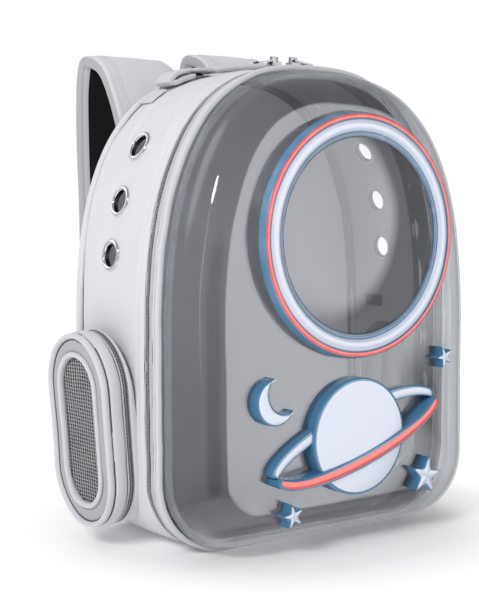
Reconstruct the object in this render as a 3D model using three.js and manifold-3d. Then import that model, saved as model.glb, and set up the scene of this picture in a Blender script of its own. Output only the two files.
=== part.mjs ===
// Bubble pet carrier backpack: a stiffened fabric body with a clear domed front, a round
// raised window, mesh side vents, eyelets, a carry handle and two padded shoulder straps.
// Millimetres, +Z up. The clear front faces -Y, the straps are at +Y, and the origin is the
// middle of the flat base.
import * as THREE from "three";
import { mergeVertices } from "three/addons/utils/BufferGeometryUtils.js";
import Module from "manifold-3d";

// Body
const bodyWidth = 325;
const bodyHeight = 420;
const bodyDepth = 142; // from the zipped rim to the back of the back panel
const topRise = 243; // height of the domed top, above the straight sides
const topFullness = 2.56; // 2 is an ellipse, and more is squarer
const baseCorner = 67;
const fabricWall = 2.5;
const seamGap = 0.3; // between two pieces that are sewn or pressed together
const backPanelThickness = 7;
const backPipingWidth = 4;
const backPipingProud = 1.2;

// Front zip
const frontPipingWidth = 9.5;
const frontPipingThickness = 4.5;
const frontPipingProud = 1;
const zipTapeWidth = 14;
const zipTapeRecess = 1.3;
const zipTapeThickness = 1.8;
const coilWidth = 5;
const coilThickness = 1.7;
const coilSetback = 3; // from the back edge of the tape
const bindingWidth = 15;
const bindingThickness = 1.6;

// Clear front
const shellRim = 3; // the wall of the dome stands this far inside the body's outline
const shellDraft = 5;
const shellDepth = 54;
const shellCorner = 36;
const shellCrown = 5;
const shellWall = 1.8;
const flangeWidth = 8;

// Round window and the raised emblem of the clear front. A reach is measured forwards from
// the zipped rim.
const windowHeight = 272;
const windowRadius = 85;
const windowReach = 67.5;
const windowBulge = 11;
const ringWidth = 19;
const ringReach = 71;
const ringDraft = 3;
const planetHeight = 99;
const planetRadius = 51;
const planetReach = 67;
const orbitLength = 97;
const orbitWidth = 27;
const orbitBand = 12;
const orbitTilt = 17; // degrees
const orbitReach = 69.5;
const smallReach = 64;
const emblemSmall = [
  { name: "moon", x: -88, z: 136, radius: 20, turn: 35 },
  { name: "star", x: -70, z: 38, radius: 11, turn: 12 },
  { name: "star", x: 82, z: 54, radius: 17, turn: -10 },
  { name: "star", x: 104, z: 160, radius: 10, turn: 20 },
];
const starWaist = 0.52; // inner radius of a star, as a share of its outer radius
const moonBite = 0.62; // how far the moon's bite is moved, as a share of its radius

// Eyelets, on both sides
const eyeletBore = 9.5;
const eyeletBarrel = 1.3;
const eyeletFlange = 14;
const eyeletFlangeThickness = 1.4;
const eyelets = [
  { height: bodyHeight - 165, depth: 10 },
  { height: bodyHeight - 118, depth: 8 },
  { height: bodyHeight - 70, depth: 6 },
];

// Side vents
const ventWidth = 99;
const ventHeight = 172;
const ventCentreHeight = 105;
const ventDepthPlace = bodyDepth / 2 - 58.5;
const ventReach = 31; // from the side wall to the vent's rim
const ventTilt = 4; // degrees that the face looks down
const ventRearBand = 6;
const ventZipWidth = 4.5;
const ventFaceThickness = 3;
const ventFaceRecess = 3;
const ventRimWidth = 8;
const ventEdgeRound = 6;
const ventWindowWidth = 56;
const ventWindowHeight = 120;
const ventTrimWidth = 6;
const ventTrimThickness = 2.2;
const ventPassWidth = 70; // the hole in the body behind each vent
const ventPassHeight = 148;
const meshThickness = 0.9;
const meshLip = 2.5; // how far the mesh reaches behind the vent's face

// Floor mat
const matThickness = 9;
const matMargin = 6;

// Shoulder straps
const strapWidth = 86;
const strapCentre = 60;
const strapThickness = 12;
const strapRootHeight = 318;
const strapFoldHeight = 443;
const strapBow = 95; // from the back panel to the middle of the hanging part
const strapEndHeight = 150;
const webbingWidth = 25;
const webbingThickness = 2;
const anchorHeight = 40;
const anchorSpread = 92; // where each webbing is sewn down, from the middle
const buckleWidth = 34;
const buckleLength = 30;
const buckleThickness = 5;
const buckleBar = 5;

// Handle
const handleSpan = 150;
const handleWidth = 26;
const handleThickness = 2.5;
const handleClear = 7.5; // finger gap between the grip and the middle of the top
const handleSag = 1.2; // how much lower the grip's ends are than its middle
const handleTabLength = 16;
const gripLength = 78;
const gripThickness = 1.6;

// Dark webbing: a loop in the lower corner of the clear front, and a tab on the right wall
const loopLength = 36;
const loopWidth = 11;
const loopSlot = 4;
const loopThickness = 2;
const loopPlace = { aside: 54.5, z: 18, turn: 11 }; // aside is from the body's right side
const tabLength = 24;
const tabWidth = 11;
const tabThickness = 1.5;
const tabPlace = { depth: 24, height: 200 };

// Zip sliders
const sliderLength = 11;
const sliderWidth = 9;
const sliderThickness = 3.4;
const sliderMiddle = -17; // the middle between the two sliders, along the top
const sliderApart = 21;
const bailHeight = 3.4;
const bailBar = 1.4;
const bailWidth = 3;
const pullLength = 22;
const pullWidth = 7.5;
const pullThickness = 1.6;
const pullClear = 0.5;
const pullDroop = 9; // degrees below level at which a pull rests on the top

const DEG = Math.PI / 180;
const rimY = -bodyDepth / 2;
const backY = bodyDepth / 2;
const coilBackY = rimY + frontPipingWidth + seamGap + zipTapeWidth - coilSetback;
const tapeFrontY = rimY + frontPipingWidth + seamGap;
const gussetFrontY = tapeFrontY + zipTapeWidth + seamGap;
const panelFrontY = backY - backPanelThickness;
const gussetBackY = panelFrontY - backPipingWidth - 2 * seamGap;
const handleDepthPlace = gussetBackY - seamGap - handleWidth / 2;
const gripHalf = handleThickness / 2 + gripThickness;
const springLine = bodyHeight - topRise;

const wasm = await Module();
wasm.setup();

// Solids

function toSolid(geometry) {
  const bare = geometry.clone();
  bare.deleteAttribute("normal");
  bare.deleteAttribute("uv");
  const merged = mergeVertices(bare, 1e-3);
  const triVerts = new Uint32Array(merged.index.array);
  const vertProperties = merged.attributes.position.array;
  return new wasm.Manifold(new wasm.Mesh({ numProp: 3, vertProperties, triVerts }));
}

function toGeometry(solid) {
  const made = solid.getMesh();
  const points = new Float32Array(made.numVert * 3);
  for (let i = 0; i < made.numVert; i++) {
    points.set(made.vertProperties.subarray(i * made.numProp, i * made.numProp + 3), i * 3);
  }
  const geometry = new THREE.BufferGeometry();
  geometry.setAttribute("position", new THREE.BufferAttribute(points, 3));
  geometry.setIndex(new THREE.BufferAttribute(made.triVerts, 1));
  geometry.computeVertexNormals();
  return geometry;
}

// A skin over rings of equal length, which closes on itself or ends in two flat fans.
function loft(rings, closesOnItself) {
  const count = rings[0].length;
  const points = rings.flat();
  const faces = [];
  const last = closesOnItself ? rings.length : rings.length - 1;
  for (let r = 0; r < last; r++) {
    const here = r * count;
    const next = ((r + 1) % rings.length) * count;
    for (let i = 0; i < count; i++) {
      const j = (i + 1) % count;
      faces.push(here + i, here + j, next + j, here + i, next + j, next + i);
    }
  }
  if (!closesOnItself) {
    for (const [ring, start, turned] of [
      [rings[0], 0, true],
      [rings[rings.length - 1], (rings.length - 1) * count, false],
    ]) {
      const middle = new THREE.Vector3();
      for (const p of ring) middle.addScaledVector(p, 1 / count);
      const hub = points.push(middle) - 1;
      for (let i = 0; i < count; i++) {
        const j = (i + 1) % count;
        faces.push(hub, start + (turned ? j : i), start + (turned ? i : j));
      }
    }
  }
  let volume = 0;
  for (let i = 0; i < faces.length; i += 3) {
    const [a, b, c] = [points[faces[i]], points[faces[i + 1]], points[faces[i + 2]]];
    volume += a.dot(b.clone().cross(c));
  }
  if (volume < 0) faces.reverse();
  const geometry = new THREE.BufferGeometry().setFromPoints(points);
  geometry.setIndex(faces);
  return geometry;
}

// The body's outline from the front, drawn inset from its outside. What stands proud of the
// sides is level with the base, so everything rests on one plane.
const baseSteps = 2;
const cornerSteps = 5;
const sideSteps = 2;
const topSteps = 24;

function outline(inset) {
  const half = bodyWidth / 2 - inset;
  const rise = topRise - inset;
  const low = Math.max(inset, 0);
  const corner = Math.max(baseCorner - inset, 1);
  const flat = half - corner;
  const points = [];
  for (let i = 0; i < baseSteps; i++) {
    points.push(new THREE.Vector2(-flat + (2 * flat * i) / baseSteps, low));
  }
  for (let i = 0; i < cornerSteps; i++) {
    const a = ((i / cornerSteps) * Math.PI) / 2;
    points.push(
      new THREE.Vector2(flat + corner * Math.sin(a), low + corner * (1 - Math.cos(a))),
    );
  }
  const sideFrom = low + corner;
  for (let i = 0; i < sideSteps; i++) {
    points.push(new THREE.Vector2(half, sideFrom + ((springLine - sideFrom) * i) / sideSteps));
  }
  for (let i = 0; i <= topSteps; i++) {
    const a = (i / topSteps) * Math.PI;
    const x = half * Math.sign(Math.cos(a)) * Math.abs(Math.cos(a)) ** (2 / topFullness);
    const z = springLine + rise * Math.abs(Math.sin(a)) ** (2 / topFullness);
    points.push(new THREE.Vector2(x, z));
  }
  for (let i = sideSteps - 1; i >= 0; i--) {
    points.push(new THREE.Vector2(-half, sideFrom + ((springLine - sideFrom) * i) / sideSteps));
  }
  for (let i = cornerSteps - 1; i > 0; i--) {
    const a = ((i / cornerSteps) * Math.PI) / 2;
    points.push(
      new THREE.Vector2(-flat - corner * Math.sin(a), low + corner * (1 - Math.cos(a))),
    );
  }
  return points;
}

const ringAt = (inset, y) => outline(inset).map((p) => new THREE.Vector3(p.x, y, p.y));

// Extrudes a shape drawn in X and Z backwards from one depth to another.
function slab(shape, frontY, depth) {
  const geometry = new THREE.ExtrudeGeometry(shape, { depth, bevelEnabled: false, steps: 1 });
  return geometry.rotateX(Math.PI / 2).translate(0, frontY + depth, 0);
}

// A loop of the outline between two insets and two depths
function loop(outerInset, innerInset, frontY, endY) {
  const rings = [
    ringAt(outerInset, frontY),
    ringAt(outerInset, endY),
    ringAt(innerInset, endY),
    ringAt(innerInset, frontY),
  ];
  return loft(rings, true);
}

// A loop with a rounded outside, for piping
function roundedLoop(outerInset, innerInset, frontY, endY) {
  const chamfer = Math.min(innerInset - outerInset, endY - frontY) * 0.3;
  const rings = [
    ringAt(innerInset, frontY),
    ringAt(outerInset + chamfer, frontY),
    ringAt(outerInset, frontY + chamfer),
    ringAt(outerInset, endY - chamfer),
    ringAt(outerInset + chamfer, endY),
    ringAt(innerInset, endY),
  ];
  return loft(rings, true);
}

// The point and the outward direction of the body's side at a height, for side -1 or 1
function sidePlace(side, height) {
  const points = outline(0);
  for (let i = 0; i < points.length; i++) {
    const a = points[i];
    const b = points[(i + 1) % points.length];
    if (a.x <= 0 || b.x <= 0 || b.y <= a.y || height < a.y || height > b.y) continue;
    const t = (height - a.y) / (b.y - a.y);
    const along = b.clone().sub(a).normalize();
    return {
      point: new THREE.Vector3(side * (a.x + t * (b.x - a.x)), 0, height),
      outward: new THREE.Vector3(side * along.y, 0, -along.x),
    };
  }
  throw new Error("no side wall at height " + height);
}

function topHeight(x) {
  const share = Math.abs(x) / (bodyWidth / 2);
  return springLine + topRise * (1 - share ** topFullness) ** (1 / topFullness);
}

function mesh(name, geometry, material) {
  const made = new THREE.Mesh(geometry, material);
  made.name = name;
  return made;
}

const paint = (color, roughness, metalness = 0) =>
  new THREE.MeshStandardMaterial({ color, roughness, metalness });
const paleFabric = paint(0xdcdce0, 0.9);
const innerFabric = paint(0xb4b4b8, 0.95);
const padMesh = paint(0x1c1c1e, 0.95);
const zipTape = paint(0xc4c4ca, 0.85);
const zipCoil = paint(0x8d8d94, 0.6);
const darkWebbing = paint(0x55555f, 0.85);
const clearPlastic = new THREE.MeshStandardMaterial({
  color: 0xc9ccd0,
  roughness: 0.05,
  transparent: true,
  opacity: 0.4,
});
const brightMetal = paint(0xc8c8c8, 0.25, 1);
const netting = paint(0x77777a, 0.8);
const palePlastic = paint(0xc0c0c4, 0.5);

// Side vents: every piece is drawn flat, in a frame whose Z looks out of the side.

function ventFrame(side) {
  const tilt = ventTilt * DEG;
  const out = new THREE.Vector3(side * Math.cos(tilt), 0, -Math.sin(tilt));
  const up = new THREE.Vector3(side * Math.sin(tilt), 0, Math.cos(tilt));
  const along = new THREE.Vector3().crossVectors(up, out);
  const frame = new THREE.Matrix4().makeBasis(along, up, out);
  frame.setPosition((side * bodyWidth) / 2, ventDepthPlace, ventCentreHeight);
  return frame;
}

const stadiumSteps = 7;

function stadium(width, height) {
  const radius = width / 2;
  const straight = height / 2 - radius;
  const points = [];
  for (const end of [1, -1]) {
    for (let i = 0; i <= stadiumSteps; i++) {
      const a = (i / stadiumSteps) * Math.PI;
      points.push(
        new THREE.Vector2(
          end * radius * Math.cos(a),
          end * (straight + radius * Math.sin(a)),
        ),
      );
    }
  }
  return points;
}

const stadiumRing = (inset, z) =>
  stadium(ventWidth - 2 * inset, ventHeight - 2 * inset).map(
    (p) => new THREE.Vector3(p.x, p.y, z),
  );

const stadiumBand = (outer, inner, from, to) =>
  loft(
    [
      stadiumRing(outer, from),
      stadiumRing(outer, to),
      stadiumRing(inner, to),
      stadiumRing(inner, from),
    ],
    true,
  );

function stadiumBlock(width, height, from, to) {
  const ring = (z) => stadium(width, height).map((p) => new THREE.Vector3(p.x, p.y, z));
  return loft([ring(from), ring(to)], false);
}

// The rear band of a vent meets the body's curved side, so the body's outside is cut from it.
function ventCollar(side, name) {
  const band = stadiumBand(0, fabricWall, -baseCorner, ventRearBand);
  const placed = toSolid(band.applyMatrix4(ventFrame(side)));
  const body = toSolid(loft([ringAt(-seamGap, rimY), ringAt(-seamGap, backY)], false));
  const proud = -backPipingProud - seamGap;
  const piping = toSolid(loft([ringAt(proud, gussetBackY), ringAt(proud, backY)], false));
  return mesh(name, toGeometry(placed.subtract(body).subtract(piping)), paleFabric);
}

function vent(side, tag) {
  const group = new THREE.Group();
  group.applyMatrix4(ventFrame(side));
  const zipFrom = ventRearBand + seamGap;
  const faceFrom = zipFrom + ventZipWidth + seamGap;
  const faceAt = ventReach - ventFaceRecess;
  const trimFrom = faceAt + seamGap;

  group.add(mesh("vent_zip_" + tag, stadiumBand(0.6, fabricWall, zipFrom, zipFrom + ventZipWidth), zipCoil));

  const outside = loft(
    [
      stadiumRing(0, faceFrom),
      stadiumRing(0, ventReach - ventEdgeRound),
      stadiumRing(ventEdgeRound * 0.3, ventReach - ventEdgeRound * 0.3),
      stadiumRing(ventEdgeRound, ventReach),
    ],
    false,
  );
  const hollow = stadiumBlock(
    ventWidth - 2 * fabricWall,
    ventHeight - 2 * fabricWall,
    faceFrom - 1,
    faceAt - ventFaceThickness,
  );
  const recess = stadiumBlock(
    ventWidth - 2 * ventRimWidth,
    ventHeight - 2 * ventRimWidth,
    faceAt,
    ventReach + 1,
  );
  const window = stadiumBlock(ventWindowWidth, ventWindowHeight, 0, ventReach + 1);
  const face = [hollow, recess, window].reduce(
    (solid, cutter) => solid.subtract(toSolid(cutter)),
    toSolid(outside),
  );
  group.add(mesh("vent_face_" + tag, toGeometry(face), paleFabric));

  const trim = toSolid(
    stadiumBlock(
      ventWindowWidth + 2 * ventTrimWidth,
      ventWindowHeight + 2 * ventTrimWidth,
      trimFrom,
      trimFrom + ventTrimThickness,
    ),
  ).subtract(toSolid(window));
  group.add(mesh("vent_trim_" + tag, toGeometry(trim), paleFabric));

  const netFrom = faceAt - ventFaceThickness - seamGap - meshThickness;
  group.add(
    mesh(
      "vent_mesh_" + tag,
      stadiumBlock(
        ventWindowWidth + 2 * meshLip,
        ventWindowHeight + 2 * meshLip,
        netFrom,
        netFrom + meshThickness,
      ),
      netting,
    ),
  );
  return group;
}

// Eyelets: a turned ring with a flange on each face of the wall

function eyeletMatrix(side, place) {
  const { point, outward } = sidePlace(side, place.height);
  point.y = place.depth;
  const turn = new THREE.Quaternion().setFromUnitVectors(new THREE.Vector3(0, 1, 0), outward);
  return new THREE.Matrix4().compose(point, turn, new THREE.Vector3(1, 1, 1));
}

function eyelet(side, place, name) {
  const outer = eyeletBore + eyeletBarrel;
  const above = seamGap;
  const below = -1.25 * fabricWall - 4 * seamGap;
  const thick = eyeletFlangeThickness;
  const profile = [
    [eyeletBore, below - thick],
    [eyeletFlange, below - thick],
    [eyeletFlange, below],
    [outer, below],
    [outer, above],
    [eyeletFlange, above],
    [eyeletFlange - thick, above + thick],
    [eyeletBore, above + thick],
    [eyeletBore, below - thick],
  ].map(([r, h]) => new THREE.Vector2(r, h));
  const made = mesh(name, new THREE.LatheGeometry(profile, 14), brightMetal);
  made.applyMatrix4(eyeletMatrix(side, place));
  return made;
}

// Body

function gusset() {
  let band = toSolid(loop(0, fabricWall, gussetFrontY, gussetBackY));
  const boreRadius = eyeletBore + eyeletBarrel + seamGap;
  for (const side of [-1, 1]) {
    for (const place of eyelets) {
      const drill = new THREE.CylinderGeometry(boreRadius, boreRadius, 8 * fabricWall, 14);
      band = band.subtract(toSolid(drill.applyMatrix4(eyeletMatrix(side, place))));
    }
    const pass = stadiumBlock(ventPassWidth, ventPassHeight, -baseCorner / 2, ventReach);
    band = band.subtract(toSolid(pass.applyMatrix4(ventFrame(side))));
  }
  return mesh("gusset", toGeometry(band), paleFabric);
}

function backPanel() {
  const soft = 2.5;
  const rings = [
    ringAt(0, panelFrontY),
    ringAt(0, backY - soft),
    ringAt(soft, backY),
  ];
  return mesh("back_panel", loft(rings, false), paleFabric);
}

function floorMat() {
  const half = bodyWidth / 2 - baseCorner + matMargin;
  const from = gussetFrontY + matMargin;
  const depth = gussetBackY - matMargin - from;
  const low = fabricWall + 3 * seamGap;
  const shape = new THREE.Shape();
  shape.moveTo(-half, low + matThickness / 2);
  shape.lineTo(-half + matThickness / 2 + matMargin, low);
  shape.lineTo(half - matThickness / 2 - matMargin, low);
  shape.lineTo(half, low + matThickness / 2);
  shape.lineTo(half - matThickness / 2, low + matThickness);
  shape.lineTo(-half + matThickness / 2, low + matThickness);
  return mesh("floor_mat", slab(shape, from, depth), innerFabric);
}

// Clear front

// Rings of the dome's outside, or of its inside at one wall's depth
function domeRings(wall) {
  const foot = shellRim + wall;
  const hub = shellRim + shellDraft + shellCorner;
  const radius = shellCorner - wall;
  const rings = [ringAt(foot, rimY - seamGap)];
  const arcSteps = 4;
  for (let i = 0; i <= arcSteps; i++) {
    const a = ((i / arcSteps) * Math.PI) / 2;
    const reach = shellDepth - shellCorner + radius * Math.sin(a);
    rings.push(ringAt(hub - radius * Math.cos(a), rimY - reach));
  }
  const edge = rings[rings.length - 1];
  const centre = new THREE.Vector3(0, edge[0].y, bodyHeight / 2);
  for (const share of [0.5]) {
    rings.push(
      edge.map((p) => {
        const q = p.clone().lerp(centre, 1 - share);
        q.y -= shellCrown * (1 - share ** 2);
        return q;
      }),
    );
  }
  return rings;
}

// The round window's profile, turned about its own axis: radius and reach
function windowBoss(wall) {
  const outer = windowRadius + ringWidth - wall;
  const reach = ringReach - wall;
  const profile = [
    [0, shellDepth - shellCorner],
    [outer + ringDraft, shellDepth - shellCorner],
    [outer + ringDraft, shellDepth - shellWall],
    [outer, reach],
    [windowRadius + ringDraft + wall, reach],
    [windowRadius, windowReach - wall],
    [windowRadius * 0.7, windowReach - wall + windowBulge * 0.51],
    [windowRadius * 0.36, windowReach - wall + windowBulge * 0.87],
    [0, windowReach - wall + windowBulge],
  ].map(([r, h]) => new THREE.Vector2(r, h));
  const boss = new THREE.LatheGeometry(profile, 32);
  return toSolid(boss.rotateX(Math.PI).translate(0, rimY, windowHeight));
}

function reliefSolid(shape, reach) {
  const depth = reach - (shellDepth - shellCorner);
  return toSolid(slab(shape, rimY - reach, depth));
}

function circleShape(radius, x, z) {
  const shape = new THREE.Shape();
  shape.absellipse(x, z, radius, radius, 0, 2 * Math.PI, false, 0);
  return shape;
}

// Half of the ring round the planet, inset all round. The near half is the lower one.
function orbitShape(inset, near) {
  const steps = 14;
  const margin = inset / orbitBand / 2;
  const from = (near ? Math.PI : 0) + margin;
  const to = from + Math.PI - 2 * margin;
  const shape = new THREE.Shape();
  const place = (angle, depth) => {
    const x = (orbitLength - depth) * Math.cos(angle);
    const z = (orbitWidth - depth) * Math.sin(angle);
    const turn = orbitTilt * DEG;
    return [
      x * Math.cos(turn) - z * Math.sin(turn),
      planetHeight + x * Math.sin(turn) + z * Math.cos(turn),
    ];
  };
  for (let i = 0; i <= steps; i++) {
    const spot = place(from + ((to - from) * i) / steps, inset);
    if (i) shape.lineTo(...spot);
    else shape.moveTo(...spot);
  }
  for (let i = steps; i >= 0; i--) {
    shape.lineTo(...place(from + ((to - from) * i) / steps, orbitBand - inset));
  }
  return shape;
}

function starShape(star, inset) {
  const shape = new THREE.Shape();
  const tips = 5;
  for (let i = 0; i < 2 * tips; i++) {
    const radius = (star.radius - inset) * (i % 2 ? starWaist : 1);
    const angle = Math.PI / 2 + (i * Math.PI) / tips + star.turn * DEG;
    const spot = [star.x + radius * Math.cos(angle), star.z + radius * Math.sin(angle)];
    if (i) shape.lineTo(...spot);
    else shape.moveTo(...spot);
  }
  return shape;
}

function moonShape(moon, inset) {
  const shape = new THREE.Shape();
  const steps = 12;
  const outer = moon.radius - inset;
  const shift = moon.radius * moonBite;
  const bite = moon.radius * 0.86 + inset;
  const reachAngle = Math.acos((outer ** 2 + shift ** 2 - bite ** 2) / (2 * outer * shift));
  const biteAngle = Math.acos((bite ** 2 + shift ** 2 - outer ** 2) / (2 * bite * shift));
  const turn = moon.turn * DEG;
  const put = (x, z, first) => {
    const spot = [
      moon.x + x * Math.cos(turn) - z * Math.sin(turn),
      moon.z + x * Math.sin(turn) + z * Math.cos(turn),
    ];
    if (first) shape.moveTo(...spot);
    else shape.lineTo(...spot);
  };
  for (let i = 0; i <= steps; i++) {
    const a = reachAngle + ((2 * Math.PI - 2 * reachAngle) * i) / steps;
    put(outer * Math.cos(a), outer * Math.sin(a), i === 0);
  }
  for (let i = 1; i < steps; i++) {
    const a = Math.PI + biteAngle - (2 * biteAngle * i) / steps;
    put(shift + bite * Math.cos(a), bite * Math.sin(a), false);
  }
  return shape;
}

// Everything that is raised on the dome: its outside at wall 0, its hollow at the wall's depth
function relief(wall) {
  const solids = [
    windowBoss(wall),
    reliefSolid(circleShape(planetRadius - wall, 0, planetHeight), planetReach - wall),
    reliefSolid(orbitShape(wall, true), orbitReach - wall),
    reliefSolid(orbitShape(wall, false), smallReach - wall),
  ];
  for (const spot of emblemSmall) {
    const shape = spot.name === "star" ? starShape(spot, wall) : moonShape(spot, wall);
    solids.push(reliefSolid(shape, smallReach - wall));
  }
  return solids;
}

function clearShell() {
  let outside = toSolid(loft(domeRings(0), false));
  for (const raised of relief(0)) outside = outside.add(raised);
  const inner = domeRings(shellWall);
  const openEnd = inner[0].map((p) => p.clone().setY(rimY + shellWall));
  let inside = toSolid(loft([openEnd, ...inner], false));
  for (const hollow of relief(shellWall)) inside = inside.add(hollow);
  const flangeFront = rimY - seamGap - shellWall;
  const flange = toSolid(
    loop(shellRim, shellRim + flangeWidth, flangeFront, rimY - seamGap),
  );
  return mesh("clear_shell", toGeometry(outside.subtract(inside).add(flange)), clearPlastic);
}

// Front zip

function frontZip() {
  const coilFrontY = coilBackY - coilWidth;
  const group = new THREE.Group();
  group.add(
    mesh(
      "front_piping",
      roundedLoop(
        -frontPipingProud,
        frontPipingThickness - frontPipingProud,
        rimY,
        rimY + frontPipingWidth,
      ),
      paleFabric,
    ),
    mesh(
      "zip_tape",
      loop(zipTapeRecess, zipTapeRecess + zipTapeThickness, tapeFrontY, tapeFrontY + zipTapeWidth),
      zipTape,
    ),
    mesh(
      "zip_coil",
      loop(
        zipTapeRecess - seamGap - coilThickness,
        zipTapeRecess - seamGap,
        coilFrontY,
        coilBackY,
      ),
      zipCoil,
    ),
    mesh(
      "inner_binding",
      loop(
        zipTapeRecess + zipTapeThickness + seamGap,
        zipTapeRecess + zipTapeThickness + seamGap + bindingThickness,
        tapeFrontY,
        tapeFrontY + bindingWidth,
      ),
      darkWebbing,
    ),
    mesh(
      "back_piping",
      roundedLoop(
        -backPipingProud,
        fabricWall,
        gussetBackY + seamGap,
        gussetBackY + seamGap + backPipingWidth,
      ),
      paleFabric,
    ),
  );
  return group;
}

// Zip sliders. Each is drawn with its pull lying towards +X, at the middle of the top.

function sliderPieces(side, tag) {
  const group = new THREE.Group();
  const half = sliderLength / 2;
  const place = sliderMiddle + (side * sliderApart) / 2;
  const highest = topHeight(Math.max(Math.abs(place) - half, 0));
  const lift = 2 * seamGap + coilThickness - zipTapeRecess;
  group.position.set(place, coilBackY - coilWidth / 2, highest + lift);
  if (side < 0) group.rotation.z = Math.PI;

  const profile = new THREE.Shape();
  profile.moveTo(-half, 0);
  profile.lineTo(half, 0);
  profile.lineTo(half - 0.8, sliderThickness);
  profile.lineTo(-half + 0.8, sliderThickness);
  const slider = new THREE.ExtrudeGeometry(profile, { depth: sliderWidth, bevelEnabled: false });
  slider.rotateX(Math.PI / 2).translate(0, sliderWidth / 2, 0);

  const bailHalf = sliderLength * 0.38;
  const arch = new THREE.Shape();
  arch.moveTo(-bailHalf, -seamGap);
  arch.lineTo(bailHalf, -seamGap);
  arch.lineTo(bailHalf - bailBar / 2, bailHeight + bailBar);
  arch.lineTo(-bailHalf + bailBar / 2, bailHeight + bailBar);
  const gap = new THREE.Path();
  gap.moveTo(-bailHalf + bailBar, seamGap);
  gap.lineTo(-bailHalf + bailBar, bailHeight);
  gap.lineTo(bailHalf - bailBar, bailHeight);
  gap.lineTo(bailHalf - bailBar, seamGap);
  arch.holes.push(gap);
  const bail = new THREE.ExtrudeGeometry(arch, { depth: bailWidth, bevelEnabled: false });
  bail.rotateX(Math.PI / 2).translate(0, bailWidth / 2, sliderThickness);
  const body = toSolid(slider).add(toSolid(bail));
  group.add(mesh("zip_slider_" + tag, toGeometry(body), brightMetal));

  // The pull's eye is a bar under the bail, and the pull turns about that bar.
  const swing = new THREE.Group();
  swing.position.set(0, 0, sliderThickness + bailHeight / 2);
  swing.rotation.y = pullDroop * DEG;
  const eyeHalf = bailWidth / 2 + pullClear;
  const start = -pullThickness / 2;
  const eyeEnd = bailHalf + pullClear + bailBar;
  const plan = new THREE.Shape();
  plan.moveTo(start, -pullWidth / 2);
  plan.lineTo(pullLength - 2, -pullWidth / 2);
  plan.lineTo(pullLength, -pullWidth / 2 + 2);
  plan.lineTo(pullLength, pullWidth / 2 - 2);
  plan.lineTo(pullLength - 2, pullWidth / 2);
  plan.lineTo(start, pullWidth / 2);
  const eye = new THREE.Path();
  eye.moveTo(pullThickness / 2, -eyeHalf);
  eye.lineTo(pullThickness / 2, eyeHalf);
  eye.lineTo(eyeEnd, eyeHalf);
  eye.lineTo(eyeEnd, -eyeHalf);
  plan.holes.push(eye);
  const pull = new THREE.ExtrudeGeometry(plan, { depth: pullThickness, bevelEnabled: false });
  pull.translate(0, 0, -pullThickness / 2);
  swing.add(mesh("zip_pull_" + tag, pull, brightMetal));
  group.add(swing);
  return group;
}

// Straps: side profiles in Y and Z, extruded across the strap

// A ribbon of even thickness along a line of points in Y and Z
function ribbon(line, thickness, width) {
  const left = [];
  const right = [];
  line.forEach(([y, z], i) => {
    const [beforeY, beforeZ] = line[Math.max(i - 1, 0)];
    const [afterY, afterZ] = line[Math.min(i + 1, line.length - 1)];
    const across = new THREE.Vector2(beforeZ - afterZ, afterY - beforeY);
    across.setLength(thickness / 2);
    left.push(new THREE.Vector2(y + across.x, z + across.y));
    right.push(new THREE.Vector2(y - across.x, z - across.y));
  });
  const shape = new THREE.Shape([...left, ...right.reverse()]);
  const geometry = new THREE.ExtrudeGeometry(shape, { depth: width, bevelEnabled: false });
  // X, Y and Z of the drawing become Y, Z and X
  const turn = new THREE.Matrix4().makeBasis(
    new THREE.Vector3(0, 1, 0),
    new THREE.Vector3(0, 0, 1),
    new THREE.Vector3(1, 0, 0),
  );
  return geometry.applyMatrix4(turn).translate(-width / 2, 0, 0);
}

// A smooth line through points in Y and Z
function smoothLine(points, stepsEach) {
  const curve = new THREE.CatmullRomCurve3(
    points.map(([y, z]) => new THREE.Vector3(y, z, 0)),
    false,
    "centripetal",
  );
  const steps = stepsEach * (points.length - 1);
  return curve.getPoints(steps).map((p) => [p.x, p.y]);
}

// The middle of the padded strap. Each row is a share of the bow behind the back panel, and a
// height above the root or below the fold.
function strapLine() {
  const base = backY + seamGap + strapThickness / 2;
  const bow = strapBow - strapThickness / 2;
  const rise = strapFoldHeight - strapThickness / 2 - strapRootHeight;
  const fall = strapFoldHeight - strapThickness / 2 - strapEndHeight;
  const up = [
    { bow: 0, rise: 0 },
    { bow: 0.02, rise: 0.15 },
    { bow: 0.11, rise: 0.37 },
    { bow: 0.3, rise: 0.67 },
    { bow: 0.51, rise: 0.9 },
    { bow: 0.73, rise: 1 },
    { bow: 0.89, rise: 0.94 },
  ];
  const down = [
    { bow: 0.97, fall: 0.09 },
    { bow: 1, fall: 0.25 },
    { bow: 1, fall: 0.48 },
    { bow: 0.965, fall: 0.72 },
    { bow: 0.88, fall: 0.89 },
    { bow: 0.79, fall: 1 },
  ];
  return [
    ...up.map((row) => [base + row.bow * bow, strapRootHeight + row.rise * rise]),
    ...down.map((row) => [
      base + row.bow * bow,
      strapFoldHeight - strapThickness / 2 - row.fall * fall,
    ]),
  ];
}

function strap(side, tag) {
  const group = new THREE.Group();
  group.position.x = side * strapCentre;
  const pad = ribbon(smoothLine(strapLine(), 3), strapThickness, strapWidth);
  group.add(mesh("strap_pad_" + tag, pad, paleFabric));
  return group;
}

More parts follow.
